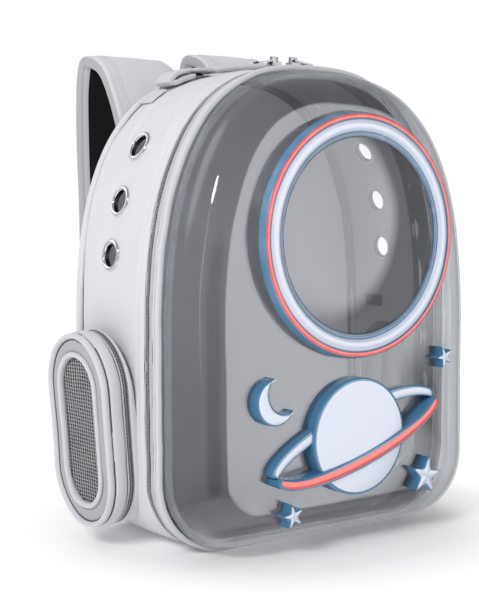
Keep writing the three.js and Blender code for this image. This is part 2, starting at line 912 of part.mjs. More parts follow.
// A ladder buckle under the strap's end and the webbing that runs from it to the body
function strapEnd(side, tag) {
  const line = strapLine();
  const [endY, endZ] = line[line.length - 1];
  const [nearY, nearZ] = line[line.length - 2];
  const fall = new THREE.Vector3(0, endY - nearY, endZ - nearZ).normalize();
  const top = new THREE.Vector3(side * strapCentre, endY, endZ);
  top.addScaledVector(fall, seamGap);
  const foot = new THREE.Vector3(
    side * anchorSpread,
    backY + seamGap + webbingThickness,
    anchorHeight,
  );
  const group = new THREE.Group();

  // The buckle hangs in the line of the strap's end. Its X is across the strap, its Y is down
  // the strap and its Z faces the back panel.
  const across = new THREE.Vector3(1, 0, 0);
  const inwards = new THREE.Vector3().crossVectors(across, fall);
  const buckleFrame = new THREE.Matrix4().makeBasis(across, fall, inwards).setPosition(top);
  const frame = new THREE.Shape();
  const half = buckleWidth / 2;
  frame.moveTo(-half, 0);
  frame.lineTo(half, 0);
  frame.lineTo(half, buckleLength - 2);
  frame.lineTo(half - 2, buckleLength);
  frame.lineTo(-half + 2, buckleLength);
  frame.lineTo(-half, buckleLength - 2);
  const slotHalf = half - 3.5;
  const slotLength = (buckleLength - 3 * buckleBar) / 2;
  for (const from of [buckleBar, 2 * buckleBar + slotLength]) {
    const slot = new THREE.Path();
    slot.moveTo(-slotHalf, from);
    slot.lineTo(-slotHalf, from + slotLength);
    slot.lineTo(slotHalf, from + slotLength);
    slot.lineTo(slotHalf, from);
    frame.holes.push(slot);
  }
  const buckle = new THREE.ExtrudeGeometry(frame, { depth: buckleThickness, bevelEnabled: false });
  buckle.translate(0, 0, -buckleThickness / 2).applyMatrix4(buckleFrame);
  group.add(mesh("strap_buckle_" + tag, buckle, palePlastic));

  // The webbing runs up from its seam on the back panel and along the buckle's inner face.
  const clear = buckleThickness / 2 + 2 * seamGap + webbingThickness / 2;
  const beside = (down) => new THREE.Vector3(0, down, clear).applyMatrix4(buckleFrame);
  const route = new THREE.CatmullRomCurve3(
    [
      foot,
      new THREE.Vector3(side * anchorSpread, foot.y + webbingThickness, anchorHeight + webbingWidth),
      beside(2 * buckleLength),
      beside(buckleLength),
      beside(buckleBar),
    ],
    false,
    "centripetal",
  );
  const steps = 16;
  const rings = [];
  for (let i = 0; i <= steps; i++) {
    const p = route.getPoint(i / steps);
    const along = route.getTangent(i / steps).setX(0).normalize();
    const normal = new THREE.Vector3().crossVectors(across, along);
    const w = webbingWidth / 2;
    const h = webbingThickness / 2;
    rings.push(
      [
        [-w, -h],
        [w, -h],
        [w, h],
        [-w, h],
      ].map(([a, b]) => p.clone().addScaledVector(across, a).addScaledVector(normal, b)),
    );
  }
  group.add(mesh("strap_webbing_" + tag, loft(rings, false), zipTape));
  return group;
}

// Handle: a flat band sewn down at both ends, and a wrapped grip round its middle

function handleHeight(x) {
  const archEnd = gripLength / 2 + handleWidth / 6;
  const tabEnd = handleSpan / 2 - handleTabLength;
  const reach = Math.abs(x);
  const arch = (at) => bodyHeight + handleClear + gripHalf - handleSag * (at / archEnd) ** 2;
  const lying = (at) => topHeight(at) + 2 * seamGap + handleThickness / 2;
  if (reach <= archEnd) return arch(reach);
  if (reach >= tabEnd) return lying(reach);
  const share = THREE.MathUtils.smoothstep(reach, archEnd, tabEnd);
  return arch(archEnd) + (lying(tabEnd) - arch(archEnd)) * share;
}

function handle() {
  const group = new THREE.Group();
  group.position.y = handleDepthPlace;
  const half = handleSpan / 2;
  const line = [];
  const bandSteps = 26;
  for (let i = 0; i <= bandSteps; i++) {
    const x = -half + (2 * half * i) / bandSteps;
    line.push([x, handleHeight(x)]);
  }
  const band = ribbon(line, handleThickness, handleWidth).rotateZ(-Math.PI / 2);
  group.add(mesh("handle_band", band, paleFabric));

  const gripSteps = 6;
  const wrap = (halfWidth, halfHeight) => {
    const rings = [];
    for (let i = 0; i <= gripSteps; i++) {
      const x = -gripLength / 2 + (gripLength * i) / gripSteps;
      rings.push(
        [
          [-halfWidth, -halfHeight],
          [halfWidth, -halfHeight],
          [halfWidth, halfHeight],
          [-halfWidth, halfHeight],
        ].map(([y, z]) => new THREE.Vector3(x, y, handleHeight(x) + z)),
      );
    }
    return rings;
  };
  const outer = wrap(handleWidth / 2 + gripThickness, gripHalf);
  const inner = wrap(handleWidth / 2 + seamGap, handleThickness / 2 + 2 * seamGap).reverse();
  group.add(mesh("handle_grip", loft([...outer, ...inner], true), paleFabric));
  return group;
}

// Webbing loop and tab

function webbingLoop() {
  const flat = (length, width) => {
    const radius = width / 2;
    const run = length / 2 - radius;
    const path = new THREE.Shape();
    path.absarc(run, 0, radius, -Math.PI / 2, Math.PI / 2, false);
    path.absarc(-run, 0, radius, Math.PI / 2, (3 * Math.PI) / 2, false);
    return path;
  };
  const shape = flat(loopLength, loopWidth);
  shape.holes.push(flat(loopLength - loopWidth + loopSlot, loopSlot));
  const geometry = new THREE.ExtrudeGeometry(shape, {
    depth: loopThickness,
    bevelEnabled: false,
    curveSegments: 4,
  });
  geometry.rotateZ(loopPlace.turn * DEG).rotateX(Math.PI / 2);
  const frontOfRim = rimY - 2 * seamGap - shellWall;
  return mesh(
    "webbing_loop",
    geometry.translate(bodyWidth / 2 - loopPlace.aside, frontOfRim, loopPlace.z),
    darkWebbing,
  );
}

function webbingTab() {
  const wall = sidePlace(1, tabPlace.height + tabWidth / 2).point.x;
  const inside = wall - fabricWall - 2 * seamGap;
  const geometry = new THREE.BoxGeometry(tabThickness, tabLength, tabWidth);
  geometry.translate(inside - tabThickness / 2, tabPlace.depth, tabPlace.height);
  return mesh("webbing_tab", geometry, darkWebbing);
}

const carrier = new THREE.Group();
carrier.add(webbingLoop(), webbingTab());
carrier.add(gusset(), backPanel(), floorMat(), clearShell(), frontZip(), handle());
for (const [side, tag] of [
  [-1, "left"],
  [1, "right"],
]) {
  carrier.add(ventCollar(side, "vent_collar_" + tag), vent(side, tag));
  carrier.add(strap(side, tag), strapEnd(side, tag), sliderPieces(side, tag));
  eyelets.forEach((place, i) => {
    carrier.add(eyelet(side, place, "eyelet_" + tag + "_" + (i + 1)));
  });
}

export default carrier;
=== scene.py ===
"""Studio scene of a pet carrier backpack with a domed clear front.

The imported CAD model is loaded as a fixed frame, and each sub-assembly class models and dresses its
own pieces over it. Sizes are millimetres in the part's frame; meshes are in metres.
"""

import logging
import math
from collections.abc import Callable, Iterable, Sequence
from dataclasses import dataclass, field
from enum import Enum

import bpy
import numpy as np
from mathutils import Matrix, Vector


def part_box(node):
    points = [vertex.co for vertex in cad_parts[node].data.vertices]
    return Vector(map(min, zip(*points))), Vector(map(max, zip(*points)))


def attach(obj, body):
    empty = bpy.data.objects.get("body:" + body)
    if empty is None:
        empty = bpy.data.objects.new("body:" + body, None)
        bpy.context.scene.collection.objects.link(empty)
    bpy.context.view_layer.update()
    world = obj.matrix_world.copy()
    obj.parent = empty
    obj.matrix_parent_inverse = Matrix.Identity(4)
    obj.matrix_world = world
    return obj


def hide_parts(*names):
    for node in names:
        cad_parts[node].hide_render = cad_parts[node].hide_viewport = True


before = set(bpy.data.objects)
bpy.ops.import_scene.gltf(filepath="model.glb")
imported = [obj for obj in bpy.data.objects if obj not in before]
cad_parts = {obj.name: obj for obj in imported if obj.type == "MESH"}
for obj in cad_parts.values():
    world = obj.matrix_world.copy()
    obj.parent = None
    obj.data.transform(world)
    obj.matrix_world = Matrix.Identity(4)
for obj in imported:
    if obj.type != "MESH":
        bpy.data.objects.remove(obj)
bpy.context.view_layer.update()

MM = 0.001
SWELL_STEPS = 20
Array = np.ndarray
Pair = tuple[float, float]
Triple = tuple[float, float, float]
Rgba = tuple[float, float, float, float]
Piece = bpy.types.Object
Material = bpy.types.Material
Tree = bpy.types.NodeTree
Place = Callable[[Array, Array], Array]
log = logging.getLogger("carrier")


class Side(Enum):
    """A side of the carrier, named as its CAD nodes are, with the sign of its X."""

    LEFT = -1
    RIGHT = 1

    @property
    def tag(self) -> str:
        """The word that ends the names of this side's nodes."""
        return self.name.lower()


class Slot(Enum):
    """The record's material slots."""

    PALE = "pale_fabric"
    INNER = "inner_fabric"
    TAPE = "zip_tape"
    COIL = "zip_coil"
    WEBBING = "dark_webbing"
    CLEAR = "clear_plastic"
    NET = "netting"
    METAL = "bright_metal"
    PLASTIC = "pale_plastic"


# ---------------------------------------------------------------- curves


def ease(low: float, high: float, x: Array) -> Array:
    """A smooth step from 0 at low to 1 at high."""
    t = np.clip((x - low) / (high - low), 0.0, 1.0)
    return t * t * (3 - 2 * t)


def ripple(a: Array, b: Array, seed: int, count: int = 7) -> Array:
    """Smooth unevenness of cloth.

    Args:
        a: First coordinate, in units of a typical fold.
        b: Second coordinate, in the same units.
        seed: Fixes the pattern.
        count: How many waves are summed.

    Returns:
        Heights of about -1 to 1.
    """
    rng = np.random.default_rng(seed)
    total = np.zeros_like(a, dtype=float)
    for _ in range(count):
        turn, pace, phase = rng.uniform(0, math.tau), rng.uniform(2.5, 8), rng.uniform(0, math.tau)
        total += np.sin((a * math.cos(turn) + b * math.sin(turn)) * pace + phase)
    return total / math.sqrt(count)


def centripetal(points: Sequence[Sequence[float]], steps: int, closed: bool = False) -> Array:
    """A centripetal Catmull-Rom line.

    Args:
        points: The points that the line passes through.
        steps: Steps between two neighbouring points.
        closed: Whether the line returns to its start.

    Returns:
        The sampled points; a closed line repeats its first point at the end.
    """
    p = np.array(points, dtype=float)
    if closed:
        p = np.vstack([p[-1], p, p[0], p[1]])
    else:
        p = np.vstack([2 * p[0] - p[1], p, 2 * p[-1] - p[-2]])
    made = []
    for i in range(1, len(p) - 2):
        p0, p1, p2, p3 = p[i - 1 : i + 3]
        d1, d2, d3 = (max(math.sqrt(np.linalg.norm(b - a)), 1e-6) for a, b in ((p0, p1), (p1, p2), (p2, p3)))
        m1 = ((p1 - p0) / d1 - (p2 - p0) / (d1 + d2) + (p2 - p1) / d2) * d2
        m2 = ((p2 - p1) / d2 - (p3 - p1) / (d2 + d3) + (p3 - p2) / d3) * d2
        for k in range(steps):
            t = k / steps
            a = (2 * t**3 - 3 * t**2 + 1) * p1 + (t**3 - 2 * t**2 + t) * m1
            made.append(a + (-2 * t**3 + 3 * t**2) * p2 + (t**3 - t**2) * m2)
    made.append(p[-2])
    return np.array(made)


class Line:
    """A sampled line that is walked by a share of its length."""

    def __init__(self, points: Array) -> None:
        """Measures the line through points."""
        self.points = points
        steps = np.linalg.norm(np.diff(points, axis=0), axis=1)
        self.length = float(steps.sum())
        self.shares = np.concatenate([[0.0], np.cumsum(steps)]) / self.length

    def at(self, share: Array) -> Array:
        """The points at these shares of the length."""
        return np.stack([np.interp(share, self.shares, c) for c in self.points.T], -1)

    def along(self, share: Array) -> Array:
        """The unit directions at these shares."""
        step = 0.5 / len(self.points)
        d = self.at(np.minimum(share + step, 1)) - self.at(np.maximum(share - step, 0))
        return d / np.maximum(np.linalg.norm(d, axis=-1, keepdims=True), 1e-9)


@dataclass(frozen=True)
class Body:
    """Named sizes of the body, as in the CAD source."""

    width: float = 325.0
    height: float = 420.0
    rim_y: float = -71.0
    back_y: float = 71.0
    top_rise: float = 243.0
    fullness: float = 2.56
    corner: float = 67.0
    wall: float = 2.5
    tape_front: float = -61.2
    wall_front: float = -46.9
    wall_back: float = 59.4
    panel_front: float = 64.0
    eyelets: tuple[Pair, ...] = ((255.0, 10.0), (302.0, 8.0), (350.0, 6.0))

    @property
    def spring(self) -> float:
        """Height at which the straight sides end."""
        return self.height - self.top_rise

    def top(self, x: Array) -> Array:
        """Height of the body's top at x."""
        share = np.clip(np.abs(x) / (self.width / 2), 0, 1)
        return self.spring + self.top_rise * (1 - share**self.fullness) ** (1 / self.fullness)


BODY = Body()


class Outline:
    """The body's outline from the front, walked from the middle of the base up the right side."""

    def __init__(self, body: Body) -> None:
        """Measures the outline of body."""
        self.body = body
        self.ways = np.linspace(0, 7, 28001)
        x, z = self._trace(self.ways, np.zeros(1))
        steps = np.hypot(np.diff(x), np.diff(z))
        self.length = float(steps.sum())
        self.shares = np.concatenate([[0.0], np.cumsum(steps)]) / self.length

    def _trace(self, way: Array, inset: Array) -> tuple[Array, Array]:
        """X and Z at a way of 0 to 7 round the seven stretches of the outline."""
        b = self.body
        half, rise, low = b.width / 2 - inset, b.top_rise - inset, np.maximum(inset, 0)
        corner = np.maximum(b.corner - inset, 1)
        flat, start = half - corner, low + corner
        k = np.clip(way.astype(int), 0, 6)
        t = np.clip(way - k, 0, 1)
        arc = t * math.pi / 2
        up = t * math.pi
        power = 2 / b.fullness
        cos, sin = np.cos(up), np.clip(np.sin(up), 0, 1)
        x = np.select(
            [k == 0, k == 1, k == 2, k == 3, k == 4, k == 5, k == 6],
            [flat * t, flat + corner * np.sin(arc), half + 0 * t, half * np.sign(cos) * np.abs(cos) ** power,
             -half + 0 * t, -flat - corner * np.cos(arc), -flat * (1 - t)],
        )
        side = start + (b.spring - start) * t
        z = np.select(
            [k == 0, k == 1, k == 2, k == 3, k == 4, k == 5, k == 6],
            [low + 0 * t, low + corner * (1 - np.cos(arc)), side, b.spring + rise * sin**power,
             start + (b.spring - start) * (1 - t), low + corner * (1 - np.sin(arc)), low + 0 * t],
        )
        return x, z

    def at(self, share: Array, inset: Array | float = 0.0) -> tuple[Array, Array]:
        """X and Z at a share of the way round, drawn inset from the outside."""
        way = np.interp(share, self.shares, self.ways)
        return self._trace(way, np.broadcast_to(np.asarray(inset, dtype=float), np.shape(share)))

    def normal(self, share: Array) -> tuple[Array, Array]:
        """The outward direction in X and Z."""
        x0, z0 = self.at(np.maximum(share - 4e-4, 0))
        x1, z1 = self.at(np.minimum(share + 4e-4, 1))
        n = np.maximum(np.hypot(x1 - x0, z1 - z0), 1e-9)
        return (z1 - z0) / n, -(x1 - x0) / n

    def share_at(self, x: float, z: float) -> float:
        """The share at which the outline passes closest to a point."""
        s = np.linspace(0, 1, 6001)
        px, pz = self.at(s)
        return float(s[np.argmin(np.hypot(px - x, pz - z))])

    def half_width(self, z: Array) -> Array:
        """How far the side stands from the middle at a height."""
        s = np.linspace(0, 0.5, 4001)
        px, pz = self.at(s)
        return np.interp(z, pz, px)


OUTLINE = Outline(BODY)


class Stadium:
    """A straight-sided loop with round ends, drawn in its own plane."""

    def __init__(self, width: float, height: float) -> None:
        """Sets the loop's outside size."""
        self.radius, self.run = width / 2, height - width
        self.length = math.tau * self.radius + 2 * self.run

    def at(self, share: Array, inset: Array | float = 0.0) -> tuple[Array, Array]:
        """Across and up at a share of the way round, from the middle of the right side."""
        r = self.radius - np.asarray(inset, dtype=float)
        way = share * self.length
        half, bend = self.run / 2, math.pi * self.radius
        ends = np.cumsum([half, bend, self.run, bend])
        top = np.clip((way - half) / self.radius, 0, math.pi)
        low = np.clip((way - ends[2]) / self.radius, 0, math.pi)
        a = np.where(way < ends[2], np.cos(top), -np.cos(low)) * r
        up = np.select(
            [way < half, way < ends[1], way < ends[2], way < ends[3]],
            [way, half + r * np.sin(top), half - (way - ends[1]), -half - r * np.sin(low)],
            -half + (way - ends[3]),
        )
        return a, up


# ---------------------------------------------------------------- modelling


def clear_selection() -> None:
    """Leaves nothing selected, in object mode."""
    if bpy.context.object and bpy.context.object.mode != "OBJECT":
        bpy.ops.object.mode_set(mode="OBJECT")
    bpy.ops.object.select_all(action="DESELECT")


def take(name: str) -> Piece:
    """Names the primitive that was just added, and its mesh."""
    made = bpy.context.object
    made.name = made.data.name = name
    return made


def only(obj: Piece) -> None:
    """Selects obj alone and makes it active."""
    clear_selection()
    obj.select_set(True)
    bpy.context.view_layer.objects.active = obj


def edit(obj: Piece, *steps: Callable[[], object]) -> None:
    """Runs operators on obj in edit mode.

    Args:
        obj: The object.
        steps: Calls to make, in order. All of the mesh is selected before the first.
    """
    only(obj)
    bpy.ops.object.mode_set(mode="EDIT")
    bpy.ops.mesh.select_all(action="SELECT")
    for step in steps:
        step()
    bpy.ops.object.mode_set(mode="OBJECT")


def apply(obj: Piece, kind: str, **settings: object) -> None:
    """Adds a modifier of this kind to obj, sets it and applies it."""
    only(obj)
    made = obj.modifiers.new(kind.title(), kind)
    for key, value in settings.items():
        setattr(made, key, value)
    bpy.ops.object.modifier_apply(modifier=made.name)


def corners(obj: Piece) -> Array:
    """The corners of obj's mesh, as rows of X, Y and Z."""
    flat = np.empty(len(obj.data.vertices) * 3)
    obj.data.vertices.foreach_get("co", flat)
    return flat.reshape(-1, 3)


def put_corners(obj: Piece, points: Array) -> None:
    """Moves the corners of obj's mesh to points."""
    obj.data.vertices.foreach_set("co", np.ascontiguousarray(points, dtype=float).ravel())
    obj.data.update()


def settle(obj: Piece) -> None:
    """Puts obj's place, turn and size into its mesh."""
    only(obj)
    bpy.ops.object.transform_apply(location=True, rotation=True, scale=True)


def outward(obj: Piece) -> None:
    """Turns the faces of a closed piece outwards."""
    edit(obj, lambda: bpy.ops.mesh.normals_make_consistent(inside=False))


def smooth(obj: Piece, angle: float = 40.0) -> None:
    """Shades obj smoothly where it bends less than angle degrees."""
    only(obj)
    bpy.ops.object.shade_smooth_by_angle(angle=math.radians(angle))


def face_middles(obj: Piece) -> Array:
    """The middle of each face."""
    flat = np.empty(len(obj.data.polygons) * 3)
    obj.data.polygons.foreach_get("center", flat)
    return flat.reshape(-1, 3)


def face_normals(obj: Piece) -> Array:
    """The normal of each face."""
    flat = np.empty(len(obj.data.polygons) * 3)
    obj.data.polygons.foreach_get("normal", flat)
    return flat.reshape(-1, 3)


def drop_faces(obj: Piece, chosen: Array) -> None:
    """Deletes just the chosen faces of obj."""
    only(obj)
    for part in (obj.data.vertices, obj.data.edges, obj.data.polygons):
        part.foreach_set("select", np.zeros(len(part), dtype=bool))
    obj.data.polygons.foreach_set("select", np.asarray(chosen, dtype=bool))
    bpy.context.tool_settings.mesh_select_mode = (False, False, True)
    bpy.ops.object.mode_set(mode="EDIT")
    bpy.ops.mesh.delete(type="FACE")
    bpy.ops.object.mode_set(mode="OBJECT")


def across_faces(obj: Piece) -> Array:
    """How far across the cloth each face of a swept piece lies, in millimetres."""
    cut = np.empty(len(obj.data.loops) * 2)
    obj.data.uv_layers["threads"].data.foreach_get("uv", cut)
    sizes = np.empty(len(obj.data.polygons), dtype=np.int32)
    obj.data.polygons.foreach_get("loop_total", sizes)
    return np.add.reduceat(cut[1::2], np.cumsum(sizes) - sizes) / sizes / MM


def need_slots(obj: Piece, count: int) -> None:
    """Gives obj at least this many material slots, which are empty for now."""
    while len(obj.data.materials) < count:
        obj.data.materials.append(None)


def finish_faces(obj: Piece, chosen: Array, index: int) -> None:
    """Gives the chosen faces the finish in this material slot."""
    need_slots(obj, index + 1)
    now = np.empty(len(obj.data.polygons), dtype=np.int32)
    obj.data.polygons.foreach_get("material_index", now)
    now[np.asarray(chosen, dtype=bool)] = index
    obj.data.polygons.foreach_set("material_index", now)
    obj.data.update()


def swept(
    name: str,
    along: int,
    across: int,
    place: Place,
    lengths: Pair,
    closed_along: bool = False,
    closed_across: bool = False,
) -> Piece:
    """Cloth, cut as a flat grid and laid where place says.

    Args:
        name: The piece's name.
        along: Faces along its length.
        across: Faces across its width.
        place: Gives the points, in millimetres, for shares along and across.
        lengths: Length and width in millimetres, for the weave.
        closed_along: Whether the two ends meet.
        closed_across: Whether the two edges meet.

    Returns:
        The piece, with a UV map in metres that follows its threads.
    """
    clear_selection()
    bpy.ops.mesh.primitive_grid_add(x_subdivisions=along, y_subdivisions=across, size=2)
    obj = take(name)
    flat = corners(obj)
    u, v = (flat[:, 0] + 1) / 2, (flat[:, 1] + 1) / 2
    loops = np.empty(len(obj.data.loops), dtype=np.int32)
    obj.data.loops.foreach_get("vertex_index", loops)
    cut = np.stack([u[loops] * lengths[0] * MM, v[loops] * lengths[1] * MM], -1)
    threads = obj.data.uv_layers[0]
    threads.name = "threads"
    threads.data.foreach_set("uv", cut.ravel())
    put_corners(obj, place(u, v) * MM)
    if closed_along or closed_across:
        edit(obj, lambda: bpy.ops.mesh.remove_doubles(threshold=2e-5))
    return obj


def hoop(name: str, around: int, section: Line, place: Place, length: float) -> Piece:
    """A closed band of one closed section.

    Args:
        name: The piece's name.
        around: Faces round it.
        section: Its section, with one face for each step.
        place: Gives its points, as for swept.
        length: Length round it, in millimetres.

    Returns:
        The band, with its faces outwards.
    """
    obj = swept(name, around, len(section.points) - 1, place, (length, section.length), True, True)
    outward(obj)
    return obj


def tube(name: str, along: int, section: Line, place: Place, length: float) -> Piece:
    """A strap of one closed section with closed ends, made as hoop is."""
    obj = swept(name, along, len(section.points) - 1, place, (length, section.length), False, True)
    close_ends(obj)
    smooth(obj, 50)
    return obj


def close_ends(obj: Piece) -> None:
    """Closes the open ends of a tube."""
    only(obj)
    bpy.context.tool_settings.mesh_select_mode = (False, True, False)
    edit(
        obj,
        lambda: bpy.ops.mesh.select_all(action="DESELECT"),
        lambda: bpy.ops.mesh.select_non_manifold(extend=False),
        lambda: bpy.ops.mesh.fill(),
    )
    outward(obj)


def face_out(obj: Piece, hint: Array) -> None:
    """Turns an open sheet's faces so that they look along hint, row by row or all alike."""
    if float((face_normals(obj) * hint).sum()) < 0:
        edit(obj, lambda: bpy.ops.mesh.flip_normals())


def from_core(obj: Piece) -> Array:
    """The direction of each face from the line through the body's middle, front to back."""
    return face_middles(obj) * np.array([[1, 0, 1]]) - np.array([[0, 0, 0.2]])


def strewn(name: str, pattern: Piece, places: Iterable[Array]) -> Piece:
    """Copies of a small modelled piece, joined.

    Args:
        name: Name of the joined piece.
        pattern: The piece that is copied, which is then removed.
        places: One 4x4 matrix for each copy, in metres.

    Returns:
        The joined piece.
    """
    base = np.c_[corners(pattern), np.ones(len(pattern.data.vertices))]
    faces = [tuple(p.vertices) for p in pattern.data.polygons]
    points, made = [], []
    for i, matrix in enumerate(places):
        points.append((base @ np.asarray(matrix).T)[:, :3])
        made += [tuple(c + i * len(base) for c in f) for f in faces]
    mesh = bpy.data.meshes.new(name)
    mesh.from_pydata(np.vstack(points).tolist(), [], made)
    obj = bpy.data.objects.new(name, mesh)
    bpy.context.scene.collection.objects.link(obj)
    bpy.data.objects.remove(pattern)
    return obj


def turned(name: str, profile: Array, around: int, matrix: Matrix) -> Piece:
    """A closed turned ring.

    Args:
        name: The piece's name.
        profile: Closed line of radius and height, in millimetres.
        around: Faces round it.
        matrix: Places its axis, in millimetres.

    Returns:
        The ring.
    """
    line = Line(profile)

    def place(u: Array, v: Array) -> Array:
        """Points of the ring before it is placed."""
        r, h = line.at(v).T
        local = np.stack([r * np.cos(u * math.tau), r * np.sin(u * math.tau), h], -1)
        return moved(local, matrix)

    mean = float(profile[:, 0].mean()) * math.tau
    return hoop(name, around, line, place, mean)


def moved(points: Array, matrix: Matrix) -> Array:
    """Points taken through a 4x4 matrix."""
    m = np.array(matrix)
    return points @ m[:3, :3].T + m[:3, 3]


def cut_out(obj: Piece, cutter: Piece) -> None:
    """Cuts the shape of cutter out of obj and removes it."""
    apply(obj, "BOOLEAN", operation="DIFFERENCE", object=cutter, solver="EXACT")
    bpy.data.objects.remove(cutter)


def puffed(obj: Piece, voxel: float, pressure: float, cap: float) -> None:
    """Swells a padded piece with a cloth simulation, and applies the result.

    Args:
        obj: The piece, closed.
        voxel: Size of the remesh, in millimetres.
        pressure: Pressure inside.
        cap: The furthest that a point may move, in millimetres.
    """
    apply(obj, "REMESH", mode="VOXEL", voxel_size=voxel * MM)
    start = corners(obj)
    only(obj)
    cloth = obj.modifiers.new("Cloth", "CLOTH")
    cloth.settings.use_pressure = True
    cloth.settings.uniform_pressure_force = pressure
    cloth.settings.effector_weights.gravity = 0
    scene = bpy.context.scene
    for step in range(1, SWELL_STEPS + 1):
        scene.frame_set(step)
    bpy.ops.object.modifier_apply(modifier=cloth.name)
    scene.frame_set(1)
    shift = corners(obj) - start
    size = np.linalg.norm(shift, axis=1, keepdims=True)
    put_corners(obj, start + shift * np.minimum(1, cap * MM / np.maximum(size, 1e-9)))
    apply(obj, "SUBSURF", levels=1, render_levels=1)


# ---------------------------------------------------------------- shader effects


Node = bpy.types.Node
Socket = bpy.types.NodeSocket


def preset(node: Node, **values: object) -> None:
    """Sets a node's plain inputs; an underscore in a name stands for a space."""
    for key, value in values.items():
        node.inputs[key.replace("_", " ")].default_value = value


class Graph:
    """A node tree with short calls that add nodes and join them."""

    def __init__(self, tree: Tree) -> None:
        """Works on tree."""
        self.tree = tree

    def add(self, kind: str, **settings: object) -> Node:
        """A new node of this kind with these settings."""
        node = self.tree.nodes.new(kind)
        for key, value in settings.items():
            setattr(node, key, value)
        return node

    def find(self, kind: str) -> Node:
        """The node of this kind that the tree began with."""
        return next(n for n in self.tree.nodes if n.type == kind)

    def place(self) -> Socket:
        """The point in the piece's own frame."""
        return self.add("ShaderNodeTexCoord").outputs["Object"]

    def feed(self, socket: Socket, value: object) -> None:
        """Joins a socket to value, or sets it where value is plain."""
        if isinstance(value, bpy.types.NodeSocket):
            self.tree.links.new(value, socket)
        else:
            socket.default_value = value

    def math(self, operation: str, a: object, b: object = 0.0, clamp: bool = False) -> Socket:
        """The result of a sum on a and b."""
        node = self.add("ShaderNodeMath", operation=operation, use_clamp=clamp)
        self.feed(node.inputs[0], a)
        self.feed(node.inputs[1], b)
        return node.outputs[0]

    def mix(self, share: object, a: object, b: object, blend: str = "MIX") -> Socket:
        """Colour a with colour b laid over it."""
        node = self.add("ShaderNodeMix", data_type="RGBA", blend_type=blend)
        self.feed(node.inputs[0], share)
        self.feed(node.inputs[6], a)
        self.feed(node.inputs[7], b)
        return node.outputs[2]

    def add_mix(self, share: object, a: object, b: object) -> Socket:
        """A value that goes from a to b by share."""
        node = self.add("ShaderNodeMix", data_type="FLOAT")
        for socket, part in zip((node.inputs[0], node.inputs[2], node.inputs[3]), (share, a, b)):
            self.feed(socket, part)
        return node.outputs[0]

    def ramp(self, value: object, low: float, high: float, to_low: float, to_high: float) -> Socket:
        """Value, mapped from one range to another and held inside it."""
        node = self.add("ShaderNodeMapRange", clamp=True)
        for socket, part in zip(node.inputs, (value, low, high, to_low, to_high)):
            self.feed(socket, part)
        return node.outputs[0]

    def noise(self, vector: object, scale: float, detail: float = 3.0, rough: float = 0.55) -> Socket:
        """Noise from 0 to 1."""
        node = self.add("ShaderNodeTexNoise")
        self.feed(node.inputs["Vector"], vector)
        preset(node, Scale=scale, Detail=detail, Roughness=rough)
        return node.outputs["Fac"]


def new_group(
    name: str, inputs: dict[str, tuple[str, object]], outputs: dict[str, str]
) -> tuple[Graph, Node, Node]:
    """An empty node group.

    Args:
        name: The group's name.
        inputs: Socket type and default for each input.
        outputs: Socket type for each output.

    Returns:
        The graph to build in, and its input and output nodes.
    """
    tree = bpy.data.node_groups.new(name, "ShaderNodeTree")
    for key, (kind, value) in inputs.items():
        socket = tree.interface.new_socket(key, in_out="INPUT", socket_type=kind)
        if value is not None:
            socket.default_value = value
    for key, kind in outputs.items():
        tree.interface.new_socket(key, in_out="OUTPUT", socket_type=kind)
    graph = Graph(tree)
    return graph, graph.add("NodeGroupInput"), graph.add("NodeGroupOutput")


FLOAT, VECTOR = "NodeSocketFloat", "NodeSocketVector"


def make_weave() -> Tree:
    """Crossed threads: a height and how deep the gaps between them are."""
    g, given, out = new_group(
        "Woven threads",
        {"Vector": (VECTOR, None), "Threads per metre": (FLOAT, 1600.0), "Slub": (FLOAT, 0.35)},
        {"Height": FLOAT, "Gaps": FLOAT},
    )
    split = g.add("ShaderNodeSeparateXYZ")
    g.feed(split.inputs[0], given.outputs["Vector"])
    pace = g.math("MULTIPLY", given.outputs["Threads per metre"], math.pi)
    warp = g.math("SINE", g.math("MULTIPLY", split.outputs[0], pace))
    weft = g.math("SINE", g.math("MULTIPLY", split.outputs[1], pace))
    crossed = g.math("MULTIPLY", warp, weft)
    size = g.math("ABSOLUTE", crossed)
    fuzz = g.noise(given.outputs["Vector"], 900.0, 2.0, 0.7)
    uneven = g.math("MULTIPLY", g.math("SUBTRACT", fuzz, 0.5), given.outputs["Slub"])
    height = g.math("ADD", size, uneven)
    g.feed(out.inputs["Height"], height)
    g.feed(out.inputs["Gaps"], g.ramp(height, 0.0, 0.5, 1.0, 0.0))
    return g.tree


def make_folds() -> Tree:
    """Slow unevenness of sewn cloth: a height for bump and a slight change of shade."""
    g, given, out = new_group(
        "Cloth unevenness",
        {"Vector": (VECTOR, None), "Size": (FLOAT, 18.0)},
        {"Height": FLOAT, "Shade": FLOAT},
    )
    big = g.add("ShaderNodeTexNoise")
    g.feed(big.inputs["Vector"], given.outputs["Vector"])
    g.feed(big.inputs["Scale"], given.outputs["Size"])
    preset(big, Detail=4.0, Distortion=0.6)
    fine = g.noise(given.outputs["Vector"], 160.0, 3.0)
    g.feed(out.inputs["Height"], g.math("ADD", big.outputs["Fac"], g.math("MULTIPLY", fine, 0.04)))
    g.feed(out.inputs["Shade"], g.ramp(big.outputs["Fac"], 0.3, 0.7, 0.0, 1.0))
    return g.tree


